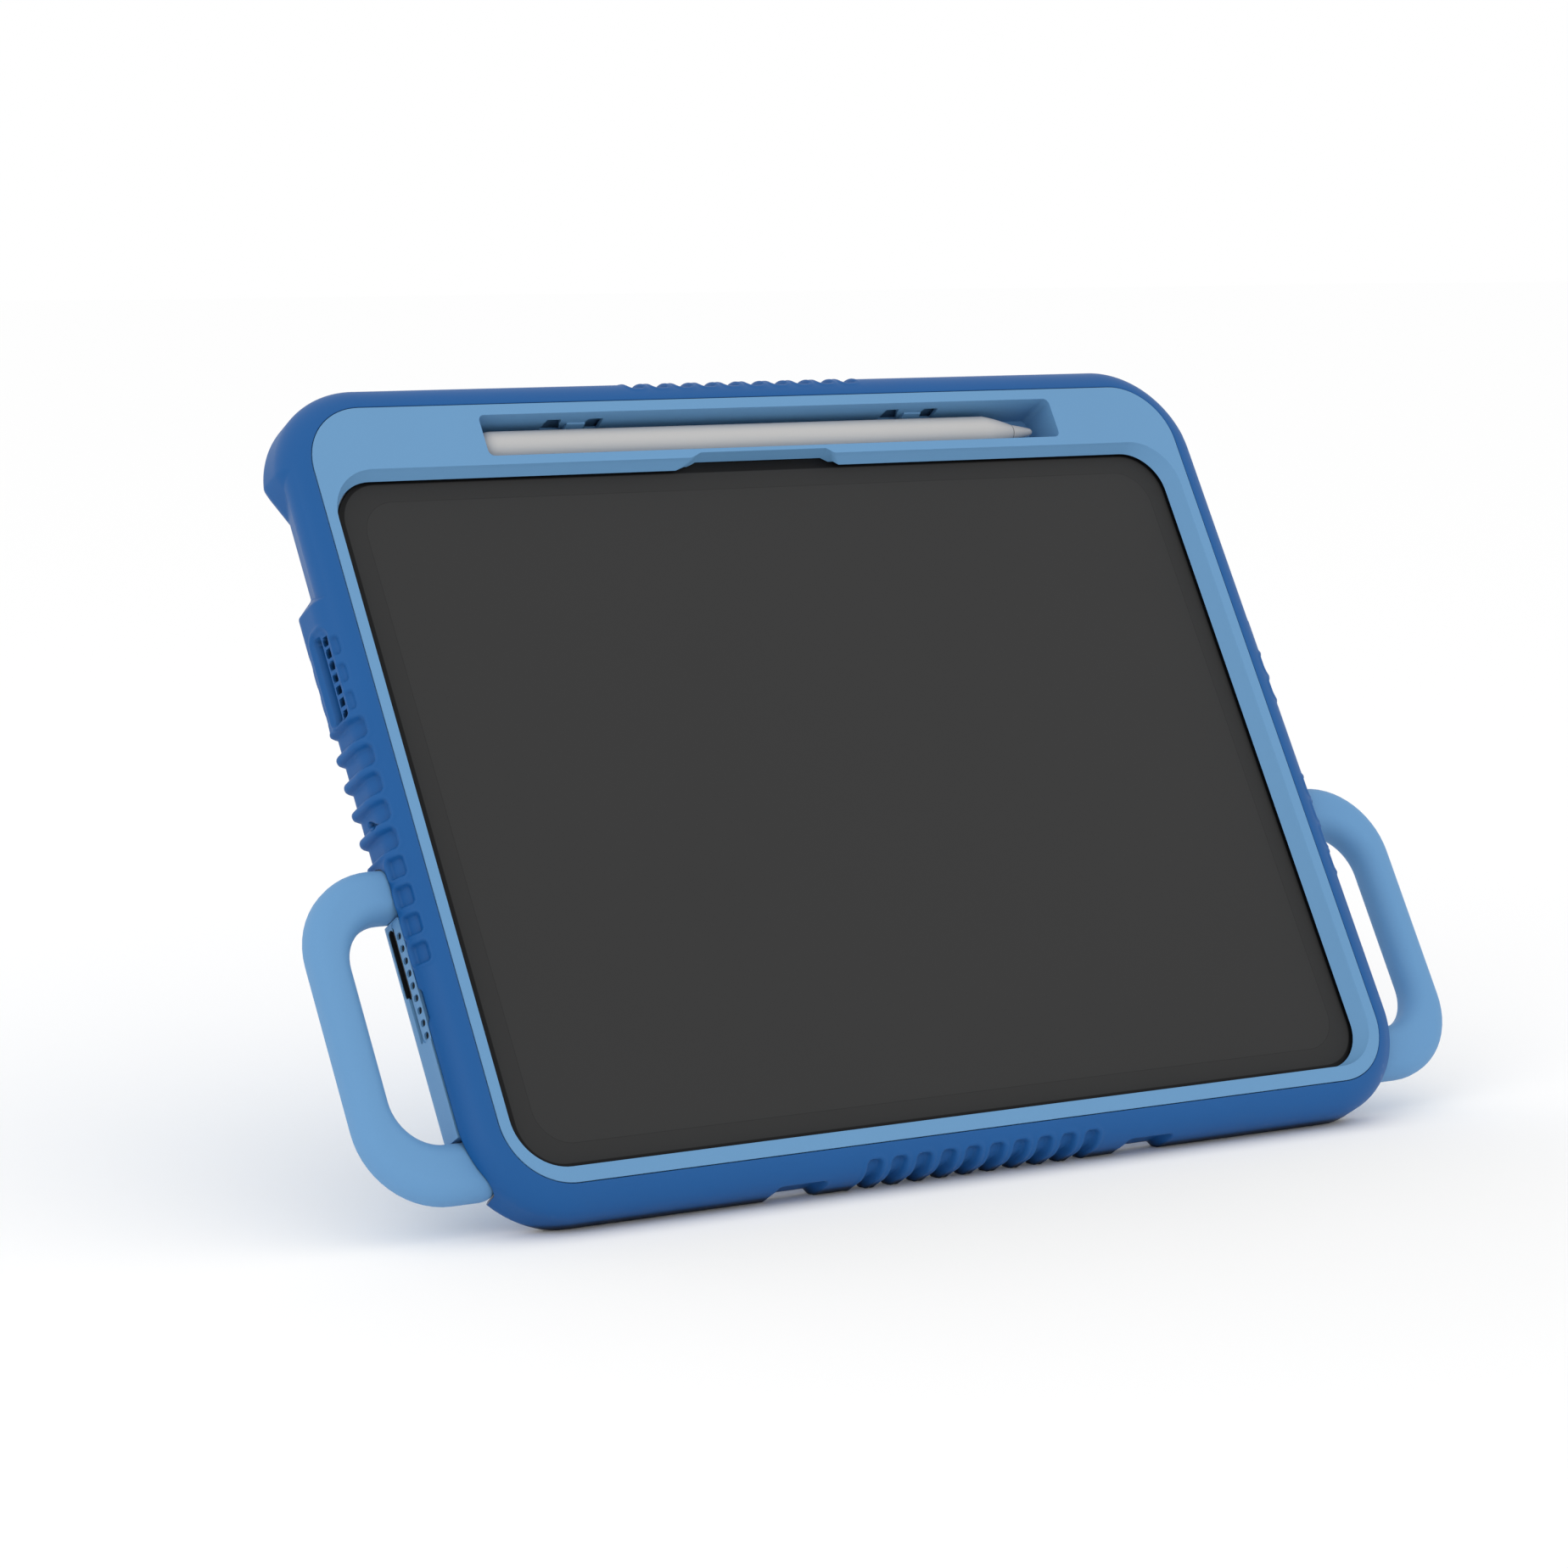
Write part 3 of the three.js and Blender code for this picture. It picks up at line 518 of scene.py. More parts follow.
OUTER_RAIL = (case_high.x, case_low.y, case_high.y, CORNER)
SEAT_RAIL = (bezel_high.x + SEAT_GAP, bezel_low.y - SEAT_GAP, bezel_high.y + SEAT_GAP, 16.3)
LIP_RAIL = (118.0, -85.0, 96.0, 12.0)

GRIP_PITCH = 7.0
GRIP_FIRST = 44.4  # middle of the highest groove at each side
SIDE_GRIPS = 12
SPLIT_GRIPS = 3  # the highest grooves make way for the speaker window or the keys
SHORT_GRIPS = 8  # from this groove down they stay in front of the handles
EDGE_GRIPS = 10
EDGE_FIRST = -31.5  # middle of the leftmost groove at the top and bottom
LEG_TOP = span("handle_left")[1].y + 0.3
LEG_BOTTOM = span("handle_left")[0].y - 0.3
RECESS_DEPTH = 5.4
RECESS_TOP = 90.5
RECESS_BOTTOM = (56.4, 36.0)  # on the left and on the right, below the keys
ABOVE_LEG = -1.8  # underside of the bumper where a handle passes behind it
LEG_ROUND = 4.5  # the underside curves down round the outer edges of the handle's legs
LEG_STEP = 0.95  # how much the underside rises over a stretch between the legs
LEG_STEP_Y = (-48.9, -39.8)


def unrolled(z):
    """How far round the skin a level is, in millimetres from the front of the roll."""
    if z > ROLL_MIDDLE:
        return ROLL * math.acos((z - ROLL_MIDDLE) / ROLL)
    if z > BACK + HEEL:
        return ROLL_LENGTH + ROLL_MIDDLE - z
    return ROLL_LENGTH + SIDE_LENGTH + HEEL * math.asin(min(1.0, (BACK + HEEL - z) / HEEL))


print("roll", round(ROLL_LENGTH, 2), "side", round(SIDE_LENGTH, 2))
print("legs of the handles from", round(LEG_BOTTOM, 1), "to", round(LEG_TOP, 1))

# %% [markdown]
# The three rails have the same number of stations, so that station k of one faces station k of the
# others. Stations stand close together where there is detail: along both sides and in the middle
# of the top and bottom edges.


# %% Rails
def shares(length, fine_step, coarse_step, fine_half=None):
    """Stations along one straight side as shares of its length, closer together near the middle."""
    if fine_half is None:
        return np.linspace(0, 1, int(length / fine_step) + 1)
    low = length / 2 - fine_half
    high = length / 2 + fine_half
    first = np.arange(0, low, coarse_step)
    middle = np.arange(low, high, fine_step)
    last = np.linspace(high, length, int(low / coarse_step) + 1)
    return np.concatenate([first, middle, last]) / length


def rail_points(half_x, bottom, top, corner, side_shares, edge_shares, turn_shares):
    """Points, outward directions and side names round a rounded rectangle, anticlockwise."""
    right, low, high = half_x - corner, bottom + corner, top - corner
    legs = [
        ((half_x, low), (half_x, high), side_shares, "right"),
        ((right, top), (-right, top), edge_shares, "top"),
        ((-half_x, high), (-half_x, low), side_shares, "left"),
        ((-right, bottom), (right, bottom), edge_shares, "bottom"),
    ]
    centres = [(right, high), (-right, high), (-right, low), (right, low)]
    points, outward, names = [], [], []
    for k, (start, end, stations, name) in enumerate(legs):
        facing = math.radians(90 * k)
        for share in stations:
            points.append((start[0] + (end[0] - start[0]) * share, start[1] + (end[1] - start[1]) * share))
            outward.append((math.cos(facing), math.sin(facing)))
            names.append(name)
        for share in turn_shares:
            angle = math.radians(90 * (k + share))
            points.append((
                centres[k][0] + corner * math.cos(angle), centres[k][1] + corner * math.sin(angle),
            ))
            outward.append((math.cos(angle), math.sin(angle)))
            names.append("corner")
    return np.array(points), np.array(outward), np.array(names)


FINE = 0.34
side_shares = shares(OUTER_RAIL[2] - OUTER_RAIL[1] - 2 * CORNER, FINE, FINE)
edge_shares = shares(2 * (OUTER_RAIL[0] - CORNER), FINE, 2.2, fine_half=60)
turn_shares = np.linspace(0, 1, 72)[1:-1]
outer, outward, side_name = rail_points(*OUTER_RAIL, side_shares, edge_shares, turn_shares)
seat = rail_points(*SEAT_RAIL, side_shares, edge_shares, turn_shares)[0]
lip = rail_points(*LIP_RAIL, side_shares, edge_shares, turn_shares)[0]
print("stations", len(outer))

# %% [markdown]
# Now the dents. Each is described on the unrolled skin, by a place along the edge and a distance
# round the section from the front of the roll. The distance to a rounded rectangle gives a dent
# with soft walls, and a little of the material it displaces stands up as a rim, as it does round
# the grip grooves of a real bumper.


# %% Dents pressed into the skin
def ease(value):
    value = np.clip(value, 0, 1)
    return value * value * (3 - 2 * value)


def to_pad(u, v, middle, half, near, far, radius):
    """Distance outside a rounded rectangle on the unrolled skin, negative inside it."""
    du = np.abs(u - middle) - (half - radius)
    dv = np.abs(v - (near + far) / 2) - ((far - near) / 2 - radius)
    corner = np.hypot(np.maximum(du, 0), np.maximum(dv, 0))
    return corner + np.minimum(np.maximum(du, dv), 0) - radius


def dent(distance, depth, wall, rim=0.0):
    """Depth of a dent with walls that slope over a width, and a raised rim just outside it."""
    pressed = depth * ease(0.5 - distance / wall)
    raised = rim * np.exp(-(((distance - wall * 0.9) / 0.55) ** 2))
    return pressed - raised


def side_dents(u, v, on_left):
    """Depth over one side: grip grooves, and on the left the window of the upper speaker."""
    depth = np.zeros_like(u)
    front = unrolled(2.5)
    for i in range(SIDE_GRIPS):
        middle = GRIP_FIRST - i * GRIP_PITCH
        over_port = not on_left and abs(middle) < 10.5
        over_keys = not on_left and i < SPLIT_GRIPS
        if over_port or over_keys:
            continue
        if i < SPLIT_GRIPS:
            depth += dent(to_pad(u, v, middle, 2.2, 5.4, 7.3, 0.9), 0.7, 0.8, 0.12)
            depth += dent(to_pad(u, v, middle, 2.3, unrolled(-9.9), 40, 1.6), 1.4, 1.2)
        elif i >= SHORT_GRIPS:
            depth += dent(to_pad(u, v, middle, 2.3, front, unrolled(-1.0), 0.9), 1.1, 0.7, 0.3)
        else:
            depth += dent(to_pad(u, v, middle, 2.35, front, 40, 1.3), 1.5, 0.9, 0.3)
    if on_left:
        depth += speaker_window(u, v) + release_slit(u, v)
    return depth


def speaker_window(u, v):
    """The window over the upper speaker: a shallow frame, a trench in it and seven small holes."""
    middle, near, far = 38.2, unrolled(0.2), unrolled(-6.8)
    depth = dent(to_pad(u, v, middle, 11.7, near, far, 2.4), 0.45, 0.7, 0.3)
    depth += dent(to_pad(u, v, middle, 10.8, near + 0.8, far - 0.7, 1.2), 0.4, 0.4)
    depth += dent(to_pad(u, v, middle, 10.6, unrolled(-3.5), far - 0.9, 0.8), 2.4, 0.4)
    for i in range(7):
        place = middle - 0.7 + (i - 3) * 3.11
        depth += dent(to_pad(u, v, place, 0.85, unrolled(-0.4), unrolled(-2.3), 0.35), 3.4, 0.3)
    return depth


def release_slit(u, v):
    """A small curled slit in a groove, where the moulding is split to let a key strip out."""
    middle = unrolled(-3.6)
    bend = 0.85 + 1.15 * np.sin((v - middle) * math.pi / 4.4)
    ends = ease((2.7 - np.abs(v - middle)) / 0.5)
    return 1.1 * ease((0.75 - np.abs(u - bend)) / 0.45) * ends


def edge_dents(u, v):
    """Depth over the top or bottom edge: ten grip grooves and a wide notch at each end of them."""
    depth = np.zeros_like(u)
    for i in range(EDGE_GRIPS):
        middle = EDGE_FIRST + i * GRIP_PITCH
        depth += dent(to_pad(u, v, middle, 1.95, unrolled(2.7), 40, 1.2), 1.65, 0.9, 0.2)
    for middle in (-50.5, 50.5):
        depth += dent(to_pad(u, v, middle, 6.4, unrolled(-1.0), 40, 1.0), 2.0, 1.8)
    return depth


def finger_recess(x, y, z):
    """The hollow below each upper corner: deeper towards the back, with sloping ends."""
    slope = np.clip((2.4 - z) / 13.9, 0, 1) * RECESS_DEPTH
    bottom = np.where(x < 0, RECESS_BOTTOM[0], RECESS_BOTTOM[1])
    ends = np.minimum((RECESS_TOP - y) * 0.5, y - bottom)
    return np.minimum(slope, np.maximum(0, ends)) * (np.abs(x) > 120)


# %% [markdown]
# The section is walked from the front of the roll to the heel, then in along the lip and back up
# the seat wall. Where a handle passes behind, everything below a level is folded up to that level,
# and the level falls away smoothly at both ends of the handle's legs.

# %% Sweep the section round the rails
def lowest_level(x, y):
    """How far back the bumper reaches at each station: not below the handles' legs."""
    into_room = np.minimum(LEG_TOP - y, y - LEG_BOTTOM)
    short = np.clip(LEG_ROUND - into_room, 0, LEG_ROUND)
    fitted = ABOVE_LEG - LEG_ROUND + np.sqrt(LEG_ROUND**2 - short**2)
    low, high = LEG_STEP_Y
    fitted = fitted + LEG_STEP * ease((y - low) / 1.2) * ease((high - y) / 1.2)
    return np.where((into_room > 0) & (np.abs(x) > 117), fitted, BACK)


def ring(position, z):
    return np.column_stack([position, np.broadcast_to(z, len(position))])


level = lowest_level(outer[:, 0], outer[:, 1])
fold = np.clip((level - BACK) / 2.9, 0, 1)[:, None]
lip_edge = lip * (1 - fold) + seat * fold
roll_centre = outer - outward * ROLL
seat_reach = np.clip(np.einsum("ij,ij->i", seat - roll_centre, outward), 0.0, ROLL)
first_turn = np.arccos(seat_reach / ROLL)

vertical = np.isin(side_name, ["left", "right"])
along_edge = np.where(vertical, outer[:, 1], outer[:, 0])
on_edge = np.isin(side_name, ["top", "bottom"])
rings = []


def skin_ring(offset, z, direction, v):
    """One ring of the outer skin: a distance in from the outer rail, pressed in by the dents."""
    position = outer - outward * np.reshape(offset, (-1, 1))
    z = np.maximum(np.broadcast_to(z, len(position)), level)
    distance = np.broadcast_to(v, len(position))
    depth = np.zeros(len(position))
    for name in ("left", "right"):
        chosen = side_name == name
        depth[chosen] = side_dents(along_edge[chosen], distance[chosen], name == "left")
    depth[on_edge] = edge_dents(along_edge[on_edge], distance[on_edge])
    depth += finger_recess(outer[:, 0], outer[:, 1], z)
    position = position - outward * (depth * direction[0])[:, None]
    rings.append(ring(position, z - depth * direction[1]))


for height in (SEAT_FLOOR, -5.0, -2.0, 1.0, FRONT - 0.9, FRONT - 0.45):
    wall_top = ROLL_MIDDLE + ROLL * np.sin(first_turn) - 0.35
    rings.append(ring(seat, np.minimum(np.maximum(height, level), wall_top)))
rings.append(ring(seat + outward * 0.1, ROLL_MIDDLE + ROLL * np.sin(first_turn) - 0.1))
for share in np.linspace(0, 1, 31):
    turn = (first_turn - 0.045) * (1 - share)
    cosine, sine = np.cos(turn), np.sin(turn)
    distance = ROLL * (math.pi / 2 - turn)
    skin_ring(ROLL - ROLL * cosine, ROLL_MIDDLE + ROLL * sine, (cosine, sine), distance)
for share in np.linspace(0, 1, 17)[1:]:
    skin_ring(0.0, ROLL_MIDDLE - SIDE_LENGTH * share, (1.0, 0.0), ROLL_LENGTH + SIDE_LENGTH * share)
for degrees in range(10, 91, 10):
    angle = math.radians(degrees)
    distance = ROLL_LENGTH + SIDE_LENGTH + HEEL * angle
    skin_ring(HEEL - HEEL * math.cos(angle), BACK + HEEL - HEEL * math.sin(angle), (1.0, 0.0), distance)
heel_end = rings[-1][:, :2]
for share in (0.35, 0.7, 0.97):
    rings.append(ring(heel_end * (1 - share) + lip_edge * share, np.maximum(BACK, level)))
for height in (BACK + 0.25, SEAT_FLOOR - 0.25):
    rings.append(ring(lip_edge, np.maximum(height, level)))
rings.append(ring(lip_edge * 0.97 + seat * 0.03, np.maximum(SEAT_FLOOR, level)))
print("rings", len(rings), "points", len(rings) * len(outer))

# %% [markdown]
# The last ring meets the first, so the skin closes on itself like the wall of a tyre. The holes for
# the charging plug and the side keys go right through a real bumper, so they are cut, not pressed.
# The lower back edge rests on the table, and the moulding is trimmed level with it.

# %% Close the skin and stand the bumper up
stations = len(outer)
bumper_points = np.concatenate(rings)
bumper_faces = []
for r in range(len(rings)):
    after = (r + 1) % len(rings)
    for k in range(stations):
        nxt = (k + 1) % stations
        bumper_faces.append((
            r * stations + k, r * stations + nxt, after * stations + nxt, after * stations + k,
        ))
bumper = bench_object("bumper_skin", bumper_points.tolist(), bumper_faces)


def along_x(outline, x0, x1):
    """A prism between two places across the screen, from points (up the screen, out of the glass)."""
    piece = stack([(outline, x0), (outline, x1)])
    piece.data.transform(Matrix(((0, 0, 1, 0), (1, 0, 0, 0), (0, 1, 0, 0), (0, 0, 0, 1))))
    return piece


def along_y(outline, y0, y1):
    """A prism between two places up the screen, from points (across, out of the glass)."""
    return turned(stack([(outline, -y1), (outline, -y0)]), 90, "X")


PORT = (7.0, 3.3)  # half width and half height of the hole for a charging plug
BEYOND_SIDE = 140  # a place across the screen that is well outside the bumper
COVERS = ("volume_down_cover", "volume_up_cover", "power_cover")


def key_and_port_cutters(near, gap):
    """Cutters for the charging hole and for the three side keys, from a distance out to the edge."""
    level_of_port = sum(v.z for v in span("usb_port")) / 2
    port = rounded(-PORT[0], PORT[0], level_of_port - PORT[1], level_of_port + PORT[1], 3.0)
    tools = [along_x(port, near, BEYOND_SIDE)]
    for cover in COVERS:
        low, high = span(cover)
        outline = rounded(low.y - gap, high.y + gap, low.z - gap, high.z + gap, 1.4)
        tools.append(along_x(outline, near, BEYOND_SIDE))
    return tools


cut(bumper, *key_and_port_cutters(near=125.0, gap=0.3))
deliver(bumper, "bumper_moulding", "case", "bumper_rubber", "bumper", sharp=60, weighted=False)
for vertex in bumper.data.vertices:
    vertex.co.z = max(0.0, vertex.co.z)
print("bumper stands on the table at", round(min(v.co.z for v in bumper.data.vertices), 5))

# %% [markdown]
# The hard front frame is a flat ring with a flared opening for the screen. Its top band is wider
# and holds the stylus slot. The wall of the slot has two pairs of cut-outs, which leave springy
# tabs that press on the stylus, and the opening has a shallow notch for the front camera. It is cut
# from plain bodies and its edges are then softened all at once, as its mould would have them.

# %% Front frame
UNDER = 0.3
LIP_UNDER = 1.05  # underside of the lip that overhangs the glass
LIP_EDGE = (-122.9, 120.8, -87.1, 86.1)  # left, right, bottom and top of the opening at the lip
FRONT_EDGE = (-124.3, 124.2, -87.9, 88.1)  # the same at the front face: the walls slope
LIP_CORNER = 11.0
SLOT_X = (-79.0, 90.0)
SLOT_Y = (90.6, 101.1)
SLOT_FLOOR = -7.5
SLOT_WALL = 1.05
CLIPS = (-52.5, 47.5)  # where the left edges of the two tabs are
CLIP_POCKET = bezel_high.y - 1.2


def opening_outline(share, more=0.0):
    """The screen opening at a share of its flare, from the lip (0) to the front face (1)."""
    edges = [low + (high - low) * share for low, high in zip(LIP_EDGE, FRONT_EDGE)]
    left, right, bottom, top = edges
    corner = LIP_CORNER + 1.6 * share + more
    return rounded(left - more, right + more, bottom - more, top + more, corner, 16)


def screen_opening():
    """The flared hole, with a rounded edge to the front and an undercut beneath its lip."""
    wall = FRONT - LIP_UNDER
    eased = [(0.0, UNDER - 1), (0.0, LIP_UNDER), (0.72, FRONT - 0.28 * wall), (0.87, FRONT - 0.1 * wall)]
    layers = [(opening_outline(share), z) for share, z in eased]
    layers += [(opening_outline(1, -0.1), FRONT - 0.02), (opening_outline(1, 0.4), FRONT + 1)]
    undercut = opening_outline(0, 1.3)
    return [stack(layers), stack([(undercut, UNDER - 1), (undercut, LIP_UNDER)])]


def camera_notch():
    def notch(top, z):
        low, high = LIP_EDGE[3] - 0.4, LIP_EDGE[3] + 0.6 + top
        return [(-26 - top, low), (20 + top, low), (17, high), (-20, high)], z
    return stack([notch(1.6, UNDER - 1), notch(2.9, FRONT + 1)])


def clip_cuts(x):
    """The two cut-outs in the far wall of the slot that leave a leaning tab between them."""
    first = [(x - 6.1, -4.9), (x + 0.2, -4.9), (x - 1.6, -1.2), (x - 1.9, 0.6), (x - 5.8, 0.6)]
    second = [(x + 7.3, -4.9), (x + 10.9, -4.9), (x + 10.1, 0.6), (x + 6.0, 0.6), (x + 5.6, -1.3)]
    return [along_y(outline, SLOT_Y[1] - 0.4, CLIP_POCKET) for outline in (first, second)]


def clip_bump(x):
    """The swelling on a tab that holds the stylus."""
    wall = SLOT_Y[1]
    outline = [(wall + 0.3, -5.0), (wall + 0.3, -0.9), (wall - 0.15, -1.2), (wall - 0.75, -3.4)]
    return along_x(outline, x + 0.5, x + 5.6)


def front_frame():
    bezel = (bezel_low.x, bezel_high.x, bezel_low.y, bezel_high.y)
    ring_body = stack([(rounded(*bezel, 16, 18), UNDER), (rounded(*bezel, 16, 18), FRONT)])
    trough = slab(
        SLOT_X[0] - SLOT_WALL, SLOT_X[1] + SLOT_WALL, SLOT_Y[0] - SLOT_WALL, SLOT_Y[1] + SLOT_WALL,
        SLOT_FLOOR - 1.5, FRONT - 0.5, 2.5,
    )
    slot_hole = stack([
        (rounded(*SLOT_X, *SLOT_Y, 1.3, 6), SLOT_FLOOR),
        (rounded(SLOT_X[0] - 0.4, SLOT_X[1] + 0.4, SLOT_Y[0] - 0.2, SLOT_Y[1] + 0.4, 1.6, 6), FRONT + 1),
    ])
    made = join(ring_body, trough)
    cut(made, *screen_opening(), camera_notch(), slot_hole)
    for clip in CLIPS:
        cut(made, *clip_cuts(clip))
        join(made, clip_bump(clip))
    return soften(made, 0.35)


deliver(front_frame(), "front_frame_moulding", "case", "light_shell", "front_frame")

# %% [markdown]
# The rear shell is the hard tray behind the tablet. It has a hump behind the stylus slot, a lens
# window, two lugs for the stand, and on each side a block between the handle's legs that carries
# the hinge pin and holds the lower speaker's row of oval holes. Dark blocks behind the holes, which
# also line the slot beside them, are painted shade: they stand for the dark inside of the case and
# make the holes and the slot look black.

# %% Rear shell
SHELL_BACK = -8.0
TABLET_ROOM = (-124.1, 124.1, -89.55, 89.55)
POD_Y = (-75.7, -22.2)
POD_FRONT = -2.6
POD_HOLE_PITCH = 3.04
POD_HOLES_MIDDLE = -38.3
POD_TRENCH = 2.2
POD_SKIN = 0.9  # thickness of the skin with the oval holes
PIN_X = (span("handle_pin_right")[0].x + span("handle_pin_right")[1].x) / 2
PIN_Z = (span("handle_pin_right")[0].z + span("handle_pin_right")[1].z) / 2
LENS_LOW, LENS_HIGH = span("rear_camera")


def both_sides(outline):
    """An outline of (across, out) points for the right side, and the same for the left."""
    return [outline, [(-x, z) for x, z in reversed(outline)]]


def pods():
    outline = [
        (118.3, POD_FRONT), (118.3, BACK), *arc(OUTER_RAIL[0] - HEEL, BACK + HEEL, HEEL, -90, 0, 8),
        (OUTER_RAIL[0], POD_FRONT),
    ]
    return [along_y(side, *POD_Y) for side in both_sides(outline)]


def leg_rooms():
    """Room for the handles' legs: a round seat, open towards the back and to the outside."""
    clear = (span("handle_right")[1].z - span("handle_right")[0].z) / 2 + 0.3
    room = [
        (PIN_X - clear, BACK - 1), (OUTER_RAIL[0] + 4, BACK - 1), (OUTER_RAIL[0] + 4, PIN_Z),
        *arc(PIN_X, PIN_Z, clear, 0, 180, 20),
    ]
    spans = ((POD_Y[1], LEG_TOP), (LEG_BOTTOM, POD_Y[0]))
    return [along_y(side, *stretch) for side in both_sides(room) for stretch in spans]


def into_side(side, outline, deep, shallow):
    """A prism between two depths below the left (-1) or the right (1) side."""
    ends = (side * (OUTER_RAIL[0] - deep), side * (OUTER_RAIL[0] - shallow))
    return along_x(outline, min(ends), max(ends))


def pod_holes(side):
    """The lower speakers' slot with its row of oval holes."""
    tools = [
        into_side(side, rounded(-51.9, -22.3, -6.2, -1.5, 1.2), 0.3, -2),
        into_side(side, rounded(-40.2, -23.6, -8.5, -6.1, 0.95), POD_TRENCH, -2),
        into_side(side, rounded(-51.5, -39.0, -7.2, -6.2, 0.4), POD_TRENCH, -2),
    ]
    for i in range(9):
        y = POD_HOLES_MIDDLE + (i - 4) * POD_HOLE_PITCH
        tools.append(into_side(side, rounded(y - 0.8, y + 0.8, -5.5, -3.3, 0.76, 5), POD_SKIN, -2))
    return tools


def speaker_shade_block(side):
    """A dark block behind the oval holes, which also lines the slot beside them: painted shade for the dark inside
    of the case.
    """
    deep, shallow = POD_TRENCH + 0.3, POD_SKIN - 0.05
    made = into_side(side, rounded(-40.5, -23.3, -8.75, -3.1, 0.5), deep, shallow)
    join(made, into_side(side, rounded(-51.8, -39.0, -7.5, -3.1, 0.5), deep, shallow))
    join(made, into_side(side, rounded(-40.5, -23.3, -8.75, -5.9, 0.5), POD_TRENCH, 0.25))
    hollows = [rounded(-40.15, -23.65, -8.45, -6.15, 0.9), rounded(-51.45, -39.0, -7.15, -6.25, 0.35)]
    return cut(made, *[into_side(side, hollow, POD_TRENCH - 0.05, -1) for hollow in hollows])


def lens_window():
    x, y = (LENS_LOW.x + LENS_HIGH.x) / 2, (LENS_LOW.y + LENS_HIGH.y) / 2
    wide, narrow = (arc(x, y, radius, 0, 354, 59) for radius in (9.8, 8.4))
    return stack([(wide, SHELL_BACK - 1), (narrow, SHELL_BACK + 3)])


def stand_lugs(hinge_y, hinge_z):
    root = SHELL_BACK + 0.5
    outline = [*arc(hinge_y, hinge_z, 1.6, 180, 360, 12), (hinge_y + 1.9, root), (hinge_y - 1.9, root)]
    return [along_x(outline, *x) for x in ((-37, -30.4), (30.4, 37))]


stand_pin_low, stand_pin_high = span("stand_pin")
HINGE_Y = (stand_pin_low.y + stand_pin_high.y) / 2
HINGE_Z = (stand_pin_low.z + stand_pin_high.z) / 2


def rear_shell():
    bezel = (bezel_low.x, bezel_high.x, bezel_low.y, bezel_high.y)
    made = slab(*bezel, SHELL_BACK, 0.0, 16, ease=0.5, steps=16)
    hump = slab(SLOT_X[0] - 3, SLOT_X[1] + 3, 88.85, bezel_high.y - 0.5, -11.2, SHELL_BACK + 1, 4, ease=0.9)
    join(made, hump, *pods())
    panel = slab(-110, 110, -79, 83, SHELL_BACK - 2, SHELL_BACK + 0.4, 14, steps=12)
    tablet_room = slab(*TABLET_ROOM, -6.4, 5, 18.3, steps=12)
    trough_room = slab(SLOT_X[0] - 1.35, SLOT_X[1] + 1.35, 89.25, 103.3, -9.3, 5, 1)
    cut(made, tablet_room, trough_room, panel, lens_window(), *leg_rooms())
    cut(made, *pod_holes(-1), *pod_holes(1))
    cut(made, *key_and_port_cutters(near=123.9, gap=0.3))
    join(made, *stand_lugs(HINGE_Y, HINGE_Z))
    return soften(made, 0.3)


deliver(rear_shell(), "rear_shell_moulding", "case", "light_shell", "rear_shell")
# painted shade: dark blocks behind the speaker holes stand for the shade inside the case
for side, side_word in ((-1, "left"), (1, "right")):
    deliver(speaker_shade_block(side), f"speaker_shade_block_{side_word}", "case", "black_plastic")

# %% [markdown]
# A handle is a C of nearly round section, wider at its legs than along its grip. A sweep keeps the
# section's width free to change: the outer and inner edges of the C are outlines with the same
# number of points, and the section is stretched between them. Each leg ends in a half turn about
# the hinge pin, so that it can swing without a corner standing out.

# %% Handles
HANDLE_ROUND = 4.2
ROUND_ANGLES = [math.radians(9 * i) for i in range(11)]
LEG_INNER = (-76.0, -21.9)
GRIP_WIDTH = 9.4


def c_outline(low_y, high_y, far_x, corner):
    """From the root of the upper leg round the grip to the root of the lower leg."""
    return [
        *[(PIN_X + share * (far_x - corner - PIN_X), high_y) for share in (0, 0.35, 0.7)],
        *arc(far_x - corner, high_y - corner, corner, 90, 0, 14),
        *[(far_x, high_y - corner + share * (low_y - high_y + 2 * corner)) for share in (0.25, 0.5, 0.75)],
        *arc(far_x - corner, low_y + corner, corner, 0, -90, 14),
        *[(PIN_X + share * (far_x - corner - PIN_X), low_y) for share in (0.7, 0.35, 0)],
    ]


def handle_ring():
    """The section's stretch points: (outline, height) from the outer edge over the top to the inner."""
    low, high = span("handle_right")
    half = (high.z - low.z) / 2
    found = []
    for angle in ROUND_ANGLES:
        inset = HANDLE_ROUND * (1 - math.cos(angle))
        height = half - HANDLE_ROUND + HANDLE_ROUND * math.sin(angle)
        found.append((c_outline(low.y + inset, high.y - inset, high.x - inset, 20 - inset), height))
    for angle in reversed(ROUND_ANGLES):
        inset = HANDLE_ROUND * (1 - math.cos(angle))
        height = half - HANDLE_ROUND + HANDLE_ROUND * math.sin(angle)
        inside = high.x - GRIP_WIDTH + inset
        inner = c_outline(LEG_INNER[0] - inset, LEG_INNER[1] + inset, inside, 11 + inset)
        found.append((inner, height))
    return found


